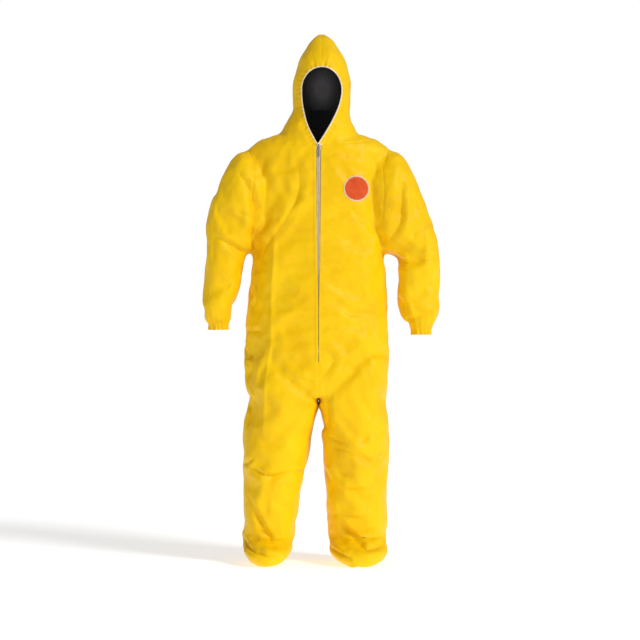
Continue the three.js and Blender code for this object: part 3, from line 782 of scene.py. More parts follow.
N = normals_of(P, T)
Q = tailor(P)
lift = press(Q, N, FRONT_FOLDS, -1) + press(Q, N, BACK_FOLDS, 1)
loose = 1 - 0.75 * smooth(Q[:, 2], 1400, 1480)
lift += loose * (2.4 * bumps(Q, 95, 1) + 1.3 * bumps(Q + 30, 48, 2) + 0.35 * bumps(Q, 19, 3))
EDGE_Z = [300, 431, 637, 706, 757, 912, 1073, 1200, 1300]
EDGE_X = [-196, -191, -184, -173, -163, -163, -153, -150, -150]
beyond = np.interp(Q[:, 2], EDGE_Z, EDGE_X) - Q[:, 0]
flat_side = smooth(Q[:, 2], 380, 520) * smooth(1190 - Q[:, 2], 0, 120) * (armhole(Q) < 0)
lift += flat_side * smooth(-N[:, 1], 0.1, 0.5) * (
    -0.26 * np.clip(beyond, 0, 70) + 3.5 * np.exp(-(beyond / 9) ** 2))
print("folds move the cloth from", round(lift.min(), 1), "to", round(lift.max(), 1), "mm")

# %% [markdown]
# A sewn seam draws the cloth in: a shallow groove with small puckers beside it. The hem of each front
# panel is folded over and stands a little proud. Elastic gathers the cuffs and the face opening into
# small pleats that run square to it and die out within a few centimetres.

# %% seams, hems and gathers
HEM_WIDTH, PLEAT, CUFF_PLEATS = 11, 15, 15


def groove(distance, where, depth=1.5, reach=3.4, pucker=0.5):
    """How far a seam at this distance draws the cloth in, in millimetres."""
    near = np.exp(-(distance / reach) ** 2) * depth
    beside = np.exp(-((np.abs(distance) - 8) / 7) ** 2) * pucker * bumps(Q, 13, 8)
    return where * (beside - near)


on_side = (armhole(Q) < -3) & (neck_seam(Q) < 0) & (leg_seam(Q) > 0)
lift += groove(armhole(Q), (Q[:, 2] > 1085) & (neck_seam(Q) < 0), 1.8)
lift += groove(neck_seam(Q), np.abs(Q[:, 0]) < 200, 1.6)
lift += groove(Q[:, 1] - SIDE_SEAM, (leg_seam(Q) < 0) & (armhole(Q) < 0) & (Q[:, 2] > 30), 1.2)
lift += groove(Q[:, 1] - SIDE_SEAM, on_side, 1.3)
lift += groove(Q[:, 0] - HOOD_MIDDLE, neck_seam(Q) > 0, 1.3)
lift += groove(Q[:, 0], (Q[:, 1] < -30) & (Q[:, 2] < ZIP_BOTTOM) & (Q[:, 2] > CROTCH), 1.3)
hem_run = slot_side(Q)
is_hem = (Q[:, 1] < -30) & (Q[:, 2] > ZIP_BOTTOM) & (neck_seam(Q) < 5)
lift += is_hem * (1.0 * smooth(hem_run, -1, 2) * smooth(HEM_WIDTH - hem_run, 0, 3)
                  - 0.6 * np.exp(-((hem_run - HEM_WIDTH) / 2.2) ** 2)
                  + 0.35 * bumps(Q, 17, 9) * (hem_run < HEM_WIDTH + 3))
edge_gap, edge_run = np.full(len(Q), 500.0), np.zeros(len(Q))
front_hood = (Q[:, 1] < -20) & (Q[:, 2] > 1400)
edge_gap[front_hood], edge_run[front_hood] = outline_side(Q[front_hood], opening(TAPE_SIDE))
pleats = np.sin(edge_run / PLEAT * 2 * math.pi + 1.6 * bumps(Q, 40, 4))
lift += front_hood * 1.7 * np.exp(-(edge_gap / 15) ** 2) * pleats
lift -= front_hood * 1.5 * np.exp(-((edge_gap - 12) / 6) ** 2)
for hand, s in SLEEVE.items():
    sign = 1 if hand == "left" else -1
    up = Q[:, 2] - s["hem"]
    around = np.arctan2(Q[:, 1] + 28, sign * Q[:, 0] - s["cuff"])
    ripple = np.sin(around * CUFF_PLEATS + 2.2 * bumps(Q, 30, 6)) + 0.5 * np.sin(around * 9 + 1)
    on_arm = (armhole(Q) > 0) & (sign * Q[:, 0] > 0) & (Q[:, 2] < 1000)
    lift += on_arm * (2.6 * ripple * np.exp(-np.clip(up, 0, None) / 34)
                      - 1.2 * np.exp(-((up - 15) / 8) ** 2))
P = P + N * (lift * MM)[:, None]
N = normals_of(P, T)
print("cloth from", (P.min(0)).round(3), "to", P.max(0).round(3))

# %% [markdown]
# The cloth's finish. The laminate has a low, waxy gloss and a fine crinkle, since its film is bonded
# to a nonwoven that shows through as a soft grain. Two noises at different scales give the crinkle,
# a Voronoi gives the flat little facets between creases, and the yellow varies a little in depth.

# %% shader helpers
def linear(*rgb):
    """A colour from 0 to 255, as the shaders take it."""
    parts = [c / 255 / 12.92 if c <= 10 else ((c / 255 + 0.055) / 1.055) ** 2.4 for c in rgb]
    return (*parts, 1.0)


class Finish:
    """A material whose nodes are added one call at a time."""

    def __init__(self, name, roughness, metallic=0.0, sheen=0.0, specular=0.3):
        self.material = bpy.data.materials.new(name)
        self.material.use_nodes = True
        self.tree = self.material.node_tree
        self.shader = self.tree.nodes["Principled BSDF"]
        self.shader.inputs["Roughness"].default_value = roughness
        self.shader.inputs["Metallic"].default_value = metallic
        self.shader.inputs["Sheen Weight"].default_value = sheen
        self.shader.inputs["Specular IOR Level"].default_value = specular
        self.place = self.tree.nodes.new("ShaderNodeTexCoord").outputs["Object"]

    def node(self, kind, inputs=(), **settings):
        made = self.tree.nodes.new("ShaderNode" + kind)
        for key, value in settings.items():
            setattr(made, key, value)
        for key, value in dict(inputs).items():
            if hasattr(value, "is_linked"):
                self.tree.links.new(value, made.inputs[key])
            else:
                made.inputs[key].default_value = value
        return made

    def noise(self, scale, detail=3.0, roughness=0.5, stretch=None):
        place = self.place
        if stretch:
            place = self.node("Mapping", {"Vector": place, "Scale": stretch}).outputs[0]
        return self.node("TexNoise", {"Vector": place, "Scale": scale, "Detail": detail,
                                      "Roughness": roughness}).outputs[0]

    def ramp(self, factor, stops):
        made = self.node("ValToRGB", {"Fac": factor})
        ramp = made.color_ramp
        while len(ramp.elements) < len(stops):
            ramp.elements.new(0.5)
        for element, (place, colour) in zip(ramp.elements, stops):
            element.position = place
            element.color = colour
        return made.outputs[0]

    def range(self, value, low, high):
        return self.node("MapRange", {"Value": value, "To Min": low, "To Max": high}).outputs[0]

    def colour(self, scale, detail, *stops, roughness=0.5):
        """A colour that wanders between the stops with a noise of this scale."""
        self.painted(self.ramp(self.noise(scale, detail, roughness), stops))

    def painted(self, output):
        self.tree.links.new(output, self.shader.inputs["Base Color"])

    def gloss(self, output):
        self.tree.links.new(output, self.shader.inputs["Roughness"])

    def bump(self, *layers):
        normal = None
        for height, strength, distance in layers:
            inputs = {"Height": height, "Strength": strength, "Distance": distance}
            if normal:
                inputs["Normal"] = normal
            normal = self.node("Bump", inputs).outputs[0]
        self.tree.links.new(normal, self.shader.inputs["Normal"])


# %% [markdown]
# The two faces of the cloth get a finish each: the yellow laminate outside, and a charcoal inside
# whose dark is painted shade for the hollows inside the suit. Yellow plastics look flat in one
# colour, so the laminate's wanders between three close ones, and its gloss wanders with a finer noise.

# %% yellow laminate, and a charcoal inside as painted shade
laminate = Finish("yellow_laminate", 0.5, specular=0.16)
laminate.colour(7, 5, (0.30, linear(244, 192, 4)), (0.52, linear(250, 202, 6)),
                (0.72, linear(253, 208, 12)), roughness=0.6)
facets = laminate.node("TexVoronoi", {"Vector": laminate.place, "Scale": 46.0}, feature="SMOOTH_F1")
laminate.gloss(laminate.range(laminate.noise(60, 4), 0.36, 0.54))
laminate.bump((laminate.noise(34, 6, 0.62), 0.55, 0.004), (facets.outputs["Distance"], 0.35, 0.003),
              (laminate.noise(900, 2), 0.18, 0.0006))
# The inside's charcoal is painted shade: it darkens the cloth's inner face, which stands for the shade
# in the suit's hollows.
inside = Finish("painted_shade_inside", 0.82, sheen=0.1)
inside.colour(20, 4, (0.3, linear(58, 57, 58)), (0.7, linear(74, 72, 75)))
inside.bump((inside.noise(38, 5), 0.5, 0.004), (inside.noise(1200, 2), 0.25, 0.0006))
print("laminate has", len(laminate.tree.nodes), "nodes")

# %% [markdown]
# Each panel becomes a real sheet: its outer face, the same face set in by the cloth's thickness, and a
# rim all round. The normals come from the whole skin, so that light runs on over a panel's edge where
# there is no seam.

# %% sheets of cloth
CLOTH = 0.0012


def sheet_mesh(name, triangles, outer, inner, thickness=CLOTH, set_in=0.0):
    """A closed sheet over some of the skin's triangles, with an outer and an inner finish."""
    used, t = np.unique(triangles, return_inverse=True)
    t = t.reshape(-1, 3)
    count = len(used)
    p, n = P[used] - N[used] * set_in, N[used]
    edges = np.vstack([t[:, [0, 1]], t[:, [1, 2]], t[:, [2, 0]]])
    free = ~np.isin(edges[:, 0] * count + edges[:, 1], edges[:, 1] * count + edges[:, 0])
    a, b = edges[free].T
    rim = np.stack([b, a, a + count, b + count], 1)
    mesh = bpy.data.meshes.new(name)
    corners = np.concatenate([t.ravel(), (t[:, ::-1] + count).ravel(), rim.ravel()])
    sizes = np.concatenate([np.full(2 * len(t), 3), np.full(len(rim), 4)])
    mesh.vertices.add(2 * count)
    mesh.vertices.foreach_set("co", np.vstack([p, p - n * thickness]).ravel())
    mesh.loops.add(len(corners))
    mesh.loops.foreach_set("vertex_index", corners.astype(np.int32))
    mesh.polygons.add(len(sizes))
    mesh.polygons.foreach_set("loop_start", (np.cumsum(sizes) - sizes).astype(np.int32))
    mesh.materials.append(outer.material)
    mesh.materials.append(inner.material)
    side = np.concatenate([np.zeros(len(t)), np.ones(len(t)), np.zeros(len(rim))])
    mesh.polygons.foreach_set("material_index", side.astype(np.int32))
    mesh.polygons.foreach_set("use_smooth", np.ones(len(sizes), bool))
    mesh.update(calc_edges=True)
    mesh.validate()
    flat = np.zeros(len(sizes) * 3, np.float32)
    mesh.polygons.foreach_get("normal", flat)
    rim_normals = np.repeat(flat.reshape(-1, 3)[2 * len(t):], 4, axis=0)
    mesh.normals_split_custom_set(np.vstack([n[t.ravel()], -n[t[:, ::-1].ravel()], rim_normals]))
    return linked(name, mesh)


def cloth_area(triangles):
    a, b, c = (P[triangles[:, i]] for i in range(3))
    return float(np.linalg.norm(np.cross(b - a, c - a), axis=1).sum() / 2)


panels = {}
for name in np.unique(panel).tolist():
    mine = T[panel == name]
    panels[name] = sheet_mesh(name, mine, laminate, inside)
    size = tailor(P[np.unique(mine)])
    print(name, "area", round(cloth_area(mine), 3), "size", (np.ptp(size, axis=0)).round())

# %% [markdown]
# The band round the face opening is a strip of pale tape, folded over the cloth's raw edge and
# gathered by an elastic behind it. It is swept along the opening: at every step a small rounded
# section is set down on the skin, found by a ray from the front, and the gathers make it swell and
# shrink as it goes.

# %% pale tape, elastic, and the hood lining's painted shade and light
tape_cloth = Finish("pale_tape", 0.72, sheen=0.25)
tape_cloth.colour(60, 4, (0.3, linear(236, 216, 178)), (0.7, linear(246, 231, 200)))
rib = tape_cloth.node("TexWave", {"Vector": tape_cloth.place, "Scale": 330.0, "Distortion": 1.5})
tape_cloth.bump((rib.outputs["Fac"], 0.25, 0.0004), (tape_cloth.noise(700, 3), 0.3, 0.0006))
elastic = Finish("pale_elastic", 0.8, sheen=0.3)
elastic.colour(90, 3, (0.3, linear(214, 203, 178)), (0.7, linear(233, 223, 200)))
cords = elastic.node("TexWave", {"Vector": elastic.place, "Scale": 210.0}, bands_direction="Z")
elastic.bump((cords.outputs["Fac"], 0.5, 0.0006), (elastic.noise(800, 2), 0.2, 0.0005))
# The hood lining is painted shade and light: dark grey at its edges for the shade in the hood's hollow,
# lighter towards a round middle as painted light.
painted_shade_lining = Finish("hood_lining", 0.88, sheen=0.15)
middle = painted_shade_lining.node("Mapping", {"Vector": painted_shade_lining.place, "Location": (-0.14, -1.2, -1.9),
                               "Scale": (12, 8, 8.5)})
painted_light_middle = painted_shade_lining.node("TexGradient", {"Vector": middle.outputs[0]}, gradient_type="QUADRATIC_SPHERE")
painted_shade_lining.painted(painted_shade_lining.ramp(painted_light_middle.outputs["Fac"], [
    (0.0, linear(70, 68, 70)), (0.55, linear(176, 172, 178))]))
painted_shade_lining.bump((painted_shade_lining.noise(30, 4), 0.4, 0.004), (painted_shade_lining.noise(1100, 2), 0.25, 0.0005))

# %% [markdown]
# Tape, badge and stitches lie on the cloth. A ray that is sent at the whole skin from the front tells
# where the cloth is at any place, folds included.

# %% rays onto the skin
RAY_START = -0.6
whole = BVHTree.FromPolygons(P.tolist(), whole_skin[1].tolist())


def on_front(x, z, out=0.0):
    """The point of the front of the skin at x and z, moved out by so many millimetres."""
    x, _, z = metres([x, 0, z])
    hit, normal, _, _ = whole.ray_cast(Vector((x, RAY_START, z)), Vector((0, 1, 0)))
    if hit is None:
        return None
    if normal.y > 0:
        normal.negate()
    return hit + normal * out * MM


def even_loop(points, step):
    """Points at even steps round a closed line, and how far along it each one is."""
    points = np.vstack([points, points[:1]])
    run = np.concatenate([[0], np.cumsum(np.linalg.norm(np.diff(points, axis=0), axis=1))])
    at = np.linspace(0, run[-1], int(run[-1] / step) + 1)[:-1]
    return np.stack([np.interp(at, run, points[:, i]) for i in (0, 1)], 1), at


def finished(made, finish):
    """A smooth closed object that faces outwards, with its finish on."""
    faces_out(made)
    made.data.polygons.foreach_set("use_smooth", [True] * len(made.data.polygons))
    made.data.materials.append(finish.material)
    return made


def swept(name, rows, finish, closed=True):
    """A tube whose rows are rings of points."""
    rows = np.array(rows)
    count, sides = rows.shape[:2]
    faces = []
    for i in range(count if closed else count - 1):
        for j in range(sides):
            a, b = i * sides + j, i * sides + (j + 1) % sides
            c, d = (i + 1) % count * sides + (j + 1) % sides, (i + 1) % count * sides + j
            faces.append((a, b, c, d))
    if not closed:
        last = (count - 1) * sides
        faces += [tuple(range(sides)), tuple(range(last, last + sides))[::-1]]
    return finished(object_of(name, rows.reshape(-1, 3), faces), finish)


# %% the tape round the face
def round_face(name, section, finish, swell=0.0, wave=9.0):
    """Sweeps a section of (outwards along the cloth, off the cloth) millimetres round the opening."""
    outline, run = even_loop(opening(0), 2.2)
    along = np.roll(outline, -1, axis=0) - np.roll(outline, 1, axis=0)
    along /= np.linalg.norm(along, axis=1, keepdims=True)
    outwards = np.stack([along[:, 1], -along[:, 0]], 1)
    if ((outline + outwards - outline.mean(0)) ** 2).sum() < ((outline - outline.mean(0)) ** 2).sum():
        outwards = -outwards
    noise = bumps(np.stack([run, run * 0, run * 0], 1), 24, 12)
    rows = []
    for i, (x, z) in enumerate(outline):
        gather = 1 + swell * math.sin(run[i] / wave * 2 * math.pi + 1.5 * noise[i])
        row = []
        for aside, off in section:
            far = aside + 0.4 * noise[i]
            spot = on_front(x + outwards[i, 0] * far, z + outwards[i, 1] * far)
            if spot is None:
                spot = Vector(rows[-1][len(row)])
                row.append(spot[:])
                continue
            edge = on_front(x + outwards[i, 0] * 5, z + outwards[i, 1] * 5) or spot
            height = off * gather if off > 0 else off
            row.append((spot.x, edge.y * 0.6 + spot.y * 0.4 - height * MM, spot.z))
        rows.append(row)
    return swept(name, rows, finish)


tape_section = [(0, -0.4), (0.4, 0.8), (1.3, 1.6), (2.4, 1.8), (3.5, 1.6), (4.4, 0.9), (4.7, 0.1),
                (3.8, -0.6), (2.0, -1.8), (0.6, -1.4)]
face_tape = round_face("face_tape", tape_section, tape_cloth, swell=0.28)
face_elastic = round_face("face_elastic_band", [(1.5, -4.2), (1.5, -3.0), (6.0, -3.0), (6.0, -4.2)],
                          elastic, wave=5)
print("tape", len(face_tape.data.polygons), "faces")

# %% [markdown]
# Inside the hood lies a thin lining, which is the hood's own cloth set in a little. Its dark grey is
# painted shade for the hollow of the hood, and it is lighter in a round middle as painted light. An
# elastic ring sits inside each cuff. Its place and size come from the CAD node that it stands for.

# %% hood lining of painted shade, and wrist elastics
hood_lining = sheet_mesh("hood_lining_cloth", shade_sheet_faces, painted_shade_lining, painted_shade_lining, thickness=0.0009, set_in=0.0030)


BAND_STEPS, BAND_OUT, BAND_IN = 96, 0.0045, 0.0056


def wrist_band(hand):
    low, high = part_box(hand + "_wrist_elastic")
    middle, half = (low + high) / 2, (high - low) / 2
    rows = []
    for step in range(BAND_STEPS):
        a = step / BAND_STEPS * 2 * math.pi
        ripple = 1 + 0.012 * math.sin(CUFF_PLEATS * a)
        rows.append([(middle.x + (half.x - inset) * math.cos(a) * ripple,
                      middle.y + (half.y - inset) * math.sin(a) * ripple, z)
                     for inset, z in ((BAND_OUT, low.z), (BAND_OUT, high.z),
                                      (BAND_IN, high.z), (BAND_IN, low.z))])
    return swept(hand + "_wrist_band", rows, elastic)


wrist_bands = {hand: wrist_band(hand) for hand in SLEEVE}
print("wrist bands", sorted(wrist_bands))

# %% [markdown]
# The zip stands in its own straight frame, which leans with the front of the suit. Two woven tapes
# carry the teeth. The teeth are many and all alike, so Geometry Nodes set them down: one small tooth
# is put at every step along a line, and the tree's inputs say how far apart the teeth are and how
# long, wide and high each one is.

# %% the zip's frame and tapes
down = Vector((0, -ZIP_LEAN, -1)).normalized()
outward = Vector((0, -1, ZIP_LEAN)).normalized()
zip_start = Vector(metres([0, front_at(ZIP_TOP), ZIP_TOP]))


def zip_place(x, out, along):
    return zip_start + Vector((x * MM, 0, 0)) + outward * (out * MM) + down * (along * MM)


# The tape's section, as pairs of a distance from the middle and a height, with a raised cord.
TAPE_SECTION = [(0.9, -2.4), (3.4, -2.4), (3.8, -2.0), (5.0, -2.0), (5.3, -2.35), (15.6, -2.9),
                (15.6, -3.6), (0.9, -3.2)]


def zip_tape(hand, sign):
    rows = []
    for along in np.linspace(0, ZIP_LENGTH, 190):
        wave = 0.15 * math.sin(along / 19 + sign)
        rows.append([zip_place(sign * x, out + wave * (x > 5), along)[:]
                     for x, out in TAPE_SECTION])
    return swept(hand + "_woven_tape", rows, tape_cloth, closed=False)


zip_tapes = {"left": zip_tape("left", 1), "right": zip_tape("right", -1)}


# %% [markdown]
# The tree turns a line of points into a curve, sets a small rounded block at every step along it, and
# ends in real geometry with its material on. The sizes are the tree's inputs, so that one tree makes
# teeth and another stitches with nothing changed but numbers.

# %% geometry nodes that repeat one small shape along a line
def repeat_tree(name, finish):
    """A tree that sets a small block at every Step along the curve that it is given."""
    tree = bpy.data.node_groups.new(name, "GeometryNodeTree")
    tree.interface.new_socket("Geometry", in_out="INPUT", socket_type="NodeSocketGeometry")
    tree.interface.new_socket("Geometry", in_out="OUTPUT", socket_type="NodeSocketGeometry")
    for label in ("Step", "Length", "Width", "Height"):
        tree.interface.new_socket(label, in_out="INPUT", socket_type="NodeSocketFloat")
    nodes, link = tree.nodes, tree.links.new
    enter, leave = nodes.new("NodeGroupInput"), nodes.new("NodeGroupOutput")
    curve = nodes.new("GeometryNodeMeshToCurve")
    link(enter.outputs["Geometry"], curve.inputs["Mesh"])
    points = nodes.new("GeometryNodeCurveToPoints")
    points.mode = "LENGTH"
    link(curve.outputs["Curve"], points.inputs["Curve"])
    link(enter.outputs["Step"], points.inputs["Length"])
    block = nodes.new("GeometryNodeMeshUVSphere")
    block.inputs["Segments"].default_value = 8
    block.inputs["Rings"].default_value = 5
    block.inputs["Radius"].default_value = 0.5
    size = nodes.new("ShaderNodeCombineXYZ")
    for axis, label in zip("XYZ", ("Width", "Height", "Length")):
        link(enter.outputs[label], size.inputs[axis])
    stretch = nodes.new("GeometryNodeTransform")
    link(block.outputs["Mesh"], stretch.inputs["Geometry"])
    link(size.outputs[0], stretch.inputs["Scale"])
    put = nodes.new("GeometryNodeInstanceOnPoints")
    link(points.outputs["Points"], put.inputs["Points"])
    link(stretch.outputs[0], put.inputs["Instance"])
    link(points.outputs["Rotation"], put.inputs["Rotation"])
    real = nodes.new("GeometryNodeRealizeInstances")
    link(put.outputs[0], real.inputs[0])
    shade = nodes.new("GeometryNodeSetShadeSmooth")
    link(real.outputs[0], shade.inputs[0])
    paint = nodes.new("GeometryNodeSetMaterial")
    paint.inputs["Material"].default_value = finish.material
    link(shade.outputs[0], paint.inputs[0])
    link(paint.outputs[0], leave.inputs[0])
    return tree


def along_lines(name, tree, lines, step, length, width, height):
    """A plain mesh of the tree's small shapes along one or more lines of points in metres."""
    verts, edges = [], []
    for line in lines:
        edges += [(len(verts) + i, len(verts) + i + 1) for i in range(len(line) - 1)]
        verts += [tuple(p) for p in line]
    mesh = bpy.data.meshes.new(name)
    mesh.from_pydata(verts, edges, [])
    made = linked(name, mesh)
    modifier = made.modifiers.new("repeat", "NODES")
    modifier.node_group = tree
    sockets = {i.name: i.identifier for i in tree.interface.items_tree if i.in_out == "INPUT"}
    for label, value in (("Step", step), ("Length", length), ("Width", width), ("Height", height)):
        modifier[sockets[label]] = value * MM
    return applied(made)


nylon = Finish("nylon_teeth", 0.4)
nylon.colour(300, 2, (0.3, linear(236, 220, 186)), (0.7, linear(246, 234, 206)))
nylon.bump((nylon.noise(1500, 2), 0.15, 0.0003))
tooth_tree = repeat_tree("zip_teeth", nylon)
FIRST_TOOTH, TEETH_RUN, TEETH_OUT, TEETH_SINK = 6.6, 736, 1.55, -1.5
TOOTH = dict(step=1.6, length=1.45, width=2.9, height=2.0)
zip_teeth = {}
for hand, sign in (("left", 1), ("right", -1)):
    shift = 0.65 * (sign > 0)
    line = [zip_place(sign * TEETH_OUT, TEETH_SINK, FIRST_TOOTH + shift + a)
            for a in np.linspace(0, TEETH_RUN, 60)]
    zip_teeth[hand] = along_lines(hand + "_teeth_row", tooth_tree, [line], **TOOTH)
    print(hand, "teeth", len(zip_teeth[hand].data.polygons), "faces")

# %% [markdown]
# Zip hardware is die-cast and plated: bright, with fine scratches and duller hollows. Its shapes come
# from the CAD frame, and only get a finish here.

# %% zip metal
metal = Finish("plated_zinc", 0.3, metallic=1.0)
metal.colour(160, 3, (0.3, linear(168, 168, 164)), (0.7, linear(202, 202, 198)))
metal.gloss(metal.range(metal.noise(420, 4), 0.22, 0.46))
metal.bump((metal.noise(600, 3, stretch=(1, 1, 0.15)), 0.2, 0.0003))
for node in ("zip_slider", "zip_pull", "left_top_stop", "right_top_stop", "bottom_stop"):
    frame["nodes"][node].data.materials.clear()
    frame["nodes"][node].data.materials.append(metal.material)
print("metal on the slider, pull and stops")

# %% [markdown]
# The badge is a round woven patch with a raised border, sewn to the chest. It is laid on the skin ring
# by ring, so that it follows the cloth's folds. It carries no mark and no lettering.

# %% badge
patch = Finish("orange_patch", 0.7, specular=0.15)
patch.colour(70, 4, (0.3, linear(214, 78, 36)), (0.7, linear(226, 92, 44)))
weave = patch.node("TexWave", {"Vector": patch.place, "Scale": 420.0, "Distortion": 0.6},
                   bands_direction="DIAGONAL")
patch.bump((weave.outputs["Fac"], 0.3, 0.0004), (patch.noise(500, 3), 0.2, 0.0005))
border = Finish("badge_border", 0.75, specular=0.15)
border.colour(80, 3, (0.3, linear(232, 196, 150)), (0.7, linear(243, 214, 172)))
border.bump((border.noise(500, 3), 0.35, 0.0006))
BADGE_X, BADGE_Z, BADGE_SIDES, STITCH_RADIUS = 131, ZIP_TOP - 155, 72, 38.5


def round_badge(radius, a):
    return BADGE_X + radius * math.cos(a), BADGE_Z + radius * math.sin(a)


def disc(name, profile, finish, hollow=False):
    """A round cap on the chest from (radius, height off the cloth) pairs, outwards in."""
    sides, verts, faces = BADGE_SIDES, [], []
    for radius, off in profile:
        for j in range(sides):
            verts.append(on_front(*round_badge(radius, j / sides * 2 * math.pi), off)[:])
    rows = len(profile)
    for i in range(rows if hollow else rows - 1):
        for j in range(sides):
            k, up = (j + 1) % sides, (i + 1) % rows
            faces.append((i * sides + j, i * sides + k, up * sides + k, up * sides + j))
    if not hollow:
        faces += [tuple(range(sides))[::-1], tuple(range((rows - 1) * sides, rows * sides))]
    return finished(object_of(name, verts, faces), finish)


badge_face = disc("badge_patch", [(40.5, -0.6), (41, 0.2), (41, 1.3), (38, 1.4), (33, 1.4), (26, 1.4),
                                  (18, 1.4), (9, 1.4), (2, 1.4)], patch)
badge_border = disc("badge_rim", [(41.5, -0.6), (45, 0.1), (45.6, 0.9), (45, 1.7), (43, 2.1),
                                  (41, 1.8), (40.4, 1.0), (40, -0.5)], border, hollow=True)
print("badge", len(badge_face.data.polygons), "faces, rim", len(badge_border.data.polygons))

# %% [markdown]
# Stitches are short rounded dashes, a hair above the cloth. The same kind of tree that made the zip's
# teeth lays them along the hems beside the zip and round the badge.

# %% stitches
yellow_thread = Finish("yellow_thread", 0.55, sheen=0.2)
yellow_thread.colour(200, 2, (0.3, linear(226, 176, 20)), (0.7, linear(240, 196, 40)))
pale_thread = Finish("pale_thread", 0.6, sheen=0.2)
pale_thread.colour(200, 2, (0.3, linear(228, 214, 180)), (0.7, linear(242, 232, 206)))
yellow_stitch = repeat_tree("yellow_stitches", yellow_thread)
pale_stitch = repeat_tree("pale_stitches", pale_thread)
THREAD = dict(width=0.7, height=0.5)


def sewn(points, out=0.35):
    """A line of x and z laid on the front of the skin."""
    found = [on_front(x, z, out) for x, z in points]
    return [p for p in found if p is not None]


hem_z = np.arange(ZIP_BOTTOM + 6, ZIP_TOP - 10, 4)
hems = [sewn([(sign * (np.interp(z, SLOT_Z, SLOT_HALF) + HEM_WIDTH - 2), z) for z in hem_z])
        for sign in (1, -1)]
hem_stitches = along_lines("zip_hem_stitches", yellow_stitch, hems, step=4.2, length=3.0, **THREAD)
round_line = [round_badge(STITCH_RADIUS, a) for a in np.linspace(0, 2 * math.pi, 120)]
badge_stitches = along_lines("badge_stitches", pale_stitch, [sewn(round_line, 1.55)],
                             step=3.4, length=2.4, **THREAD)
print("stitches", len(hem_stitches.data.polygons), "faces along the zip")

# %% [markdown]
# Now each piece is tied to the frame. The torso's panels, the zip, the badge, the stitches, the wrist
# bands and the hood lining are attached to a body. The panels that cross a joint only have their
# place baked in, and the CAD nodes that the pieces stand for are hidden.


def at(x, y, z):
    return tuple(metres([x, y, z]))


def bending(piece, direction):
    """Bakes a piece's transform into its points; the bend's direction is worked out but not used, so
    nothing bends.
    """
    direction = np.array(direction, float)
    direction /= np.linalg.norm(direction)
    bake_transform(piece)


for name in ("back", "left_front", "right_front"):
    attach(panels[name], "torso")
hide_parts("back_panel")
for hand, sign in (("left", 1), ("right", -1)):
    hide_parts(hand + "_front_panel")
    upper, lower = panels[hand + "_upper_sleeve"], panels[hand + "_lower_sleeve"]
    bending(upper,
            (sign * 0.766, 0, -0.645))
    s = SLEEVE[hand]
    bending(lower,
            (sign * 0.384, 0, -0.923))
    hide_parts(hand + "_sleeve_cap", hand + "_upper_sleeve")
    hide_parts(hand + "_elbow_fold", hand + "_lower_sleeve", hand + "_cuff")
    thigh, shin, sock = panels[hand + "_thigh"], panels[hand + "_shin"], panels[hand + "_sock"]
    bending(thigh, (sign * 0.5, 0, -0.866))
    bending(shin, (0, 0, -1))
    bending(sock, (0, 0, -1))
    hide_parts(hand + "_seat", hand + "_thigh")
    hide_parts(hand + "_knee_fold", hand + "_shin")
    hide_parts(hand + "_ankle_fold", hand + "_sock", hand + "_sock_sole")
    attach(wrist_bands[hand], hand + "_forearm")
    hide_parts(hand + "_wrist_elastic")
    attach(zip_tapes[hand], "torso")
    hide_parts(hand + "_zip_tape")
    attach(zip_teeth[hand], "torso")
    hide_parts(hand + "_zip_teeth")
for piece in (panels["hood_left"], panels["hood_right"], face_tape, face_elastic):
    bending(piece, (0, -0.313, 0.950))
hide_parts("hood_left_panel", "neck_fold")
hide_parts("hood_right_panel")
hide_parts("face_binding", "left_neck_binding", "right_neck_binding")
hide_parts("face_elastic")
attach(hood_lining, "hood")
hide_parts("hood_lining")
for piece in (badge_face, badge_border, hem_stitches, badge_stitches):
    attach(piece, "torso")
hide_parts("badge_face")
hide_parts("badge_border")
print("tied", len(panels), "panels")

# %% [markdown]

# %% [markdown]
# The stage is a plain pale floor under an even white sky, as in a studio with white walls, and two big
# soft lights: the stronger one high on the right, the weaker one low on the left. The sky is white to
# look at but lights the suit more softly, or the cloth's folds would drown in it. The camera stands
# seven metres off at the height of the suit's hips, with a long lens, so that nothing is foreshortened.

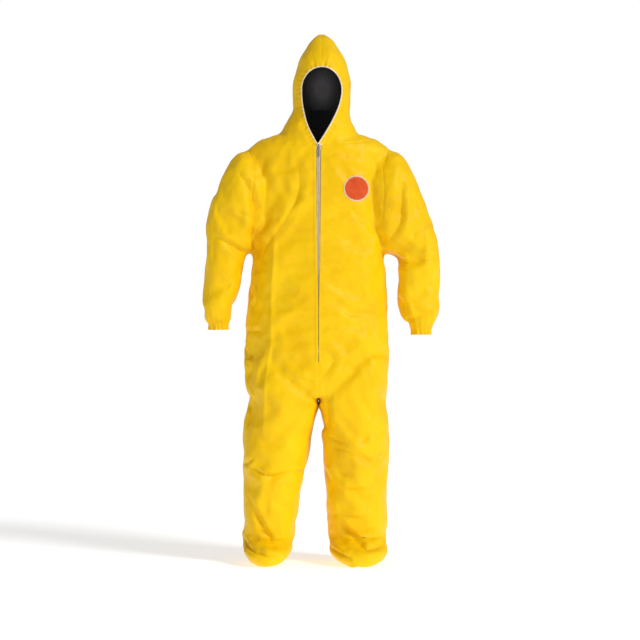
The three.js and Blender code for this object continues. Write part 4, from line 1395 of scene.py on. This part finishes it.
# %% floor, light and camera
scene = bpy.context.scene
scene.view_settings.view_transform = "Standard"
white = Finish("white_floor", 0.9)
white.shader.inputs["Base Color"].default_value = (0.93, 0.93, 0.93, 1)
white.shader.inputs["Emission Color"].default_value = (1, 1, 1, 1)
white.shader.inputs["Emission Strength"].default_value = 0.5
FLOOR, FLOOR_DROP = 9, 0.004
floor = object_of("floor", [(x * FLOOR, y * FLOOR, sole - FLOOR_DROP)
                            for x, y in ((-1, -1), (1, -1), (1, 1), (-1, 1))], [(0, 1, 2, 3)])
floor.data.materials.append(white.material)
world = bpy.data.worlds.new("white_sky")
scene.world = world
world.use_nodes = True
sky = world.node_tree.nodes["Background"]
sky.inputs["Color"].default_value = (1, 1, 1, 1)
light_path = world.node_tree.nodes.new("ShaderNodeLightPath")
strength = world.node_tree.nodes.new("ShaderNodeMapRange")
strength.inputs["To Min"].default_value = 0.31
strength.inputs["To Max"].default_value = 1.0
world.node_tree.links.new(light_path.outputs["Is Camera Ray"], strength.inputs["Value"])
world.node_tree.links.new(strength.outputs[0], sky.inputs["Strength"])


def soft_light(name, azimuth, height, power, spread):
    """A far light with a wide disc: azimuth 0 is from the front, 90 from the right of the view."""
    light = bpy.data.lights.new(name, "SUN")
    light.energy, light.angle = power, math.radians(spread)
    made = bpy.data.objects.new(name, light)
    a, e = math.radians(azimuth), math.radians(height)
    toward = Vector((-math.sin(a) * math.cos(e), math.cos(a) * math.cos(e), -math.sin(e)))
    made.rotation_euler = toward.to_track_quat("-Z", "Y").to_euler()
    scene.collection.objects.link(made)


soft_light("key", azimuth=50, height=30, power=1.85, spread=16)
soft_light("fill", azimuth=-40, height=10, power=0.22, spread=50)
lens = bpy.data.cameras.new("camera")
lens.lens = 112.5
lens.clip_end = 100
camera = bpy.data.objects.new("camera", lens)
camera.location = at(5.25, -7000, 843)
camera.rotation_euler = (math.pi / 2, 0, 0)
scene.collection.objects.link(camera)
scene.camera = camera
print("camera at", tuple(round(c, 3) for c in camera.location))

# %% [markdown]
# Last, the view layer is brought up to date.

# %% the end
bpy.context.view_layer.update()
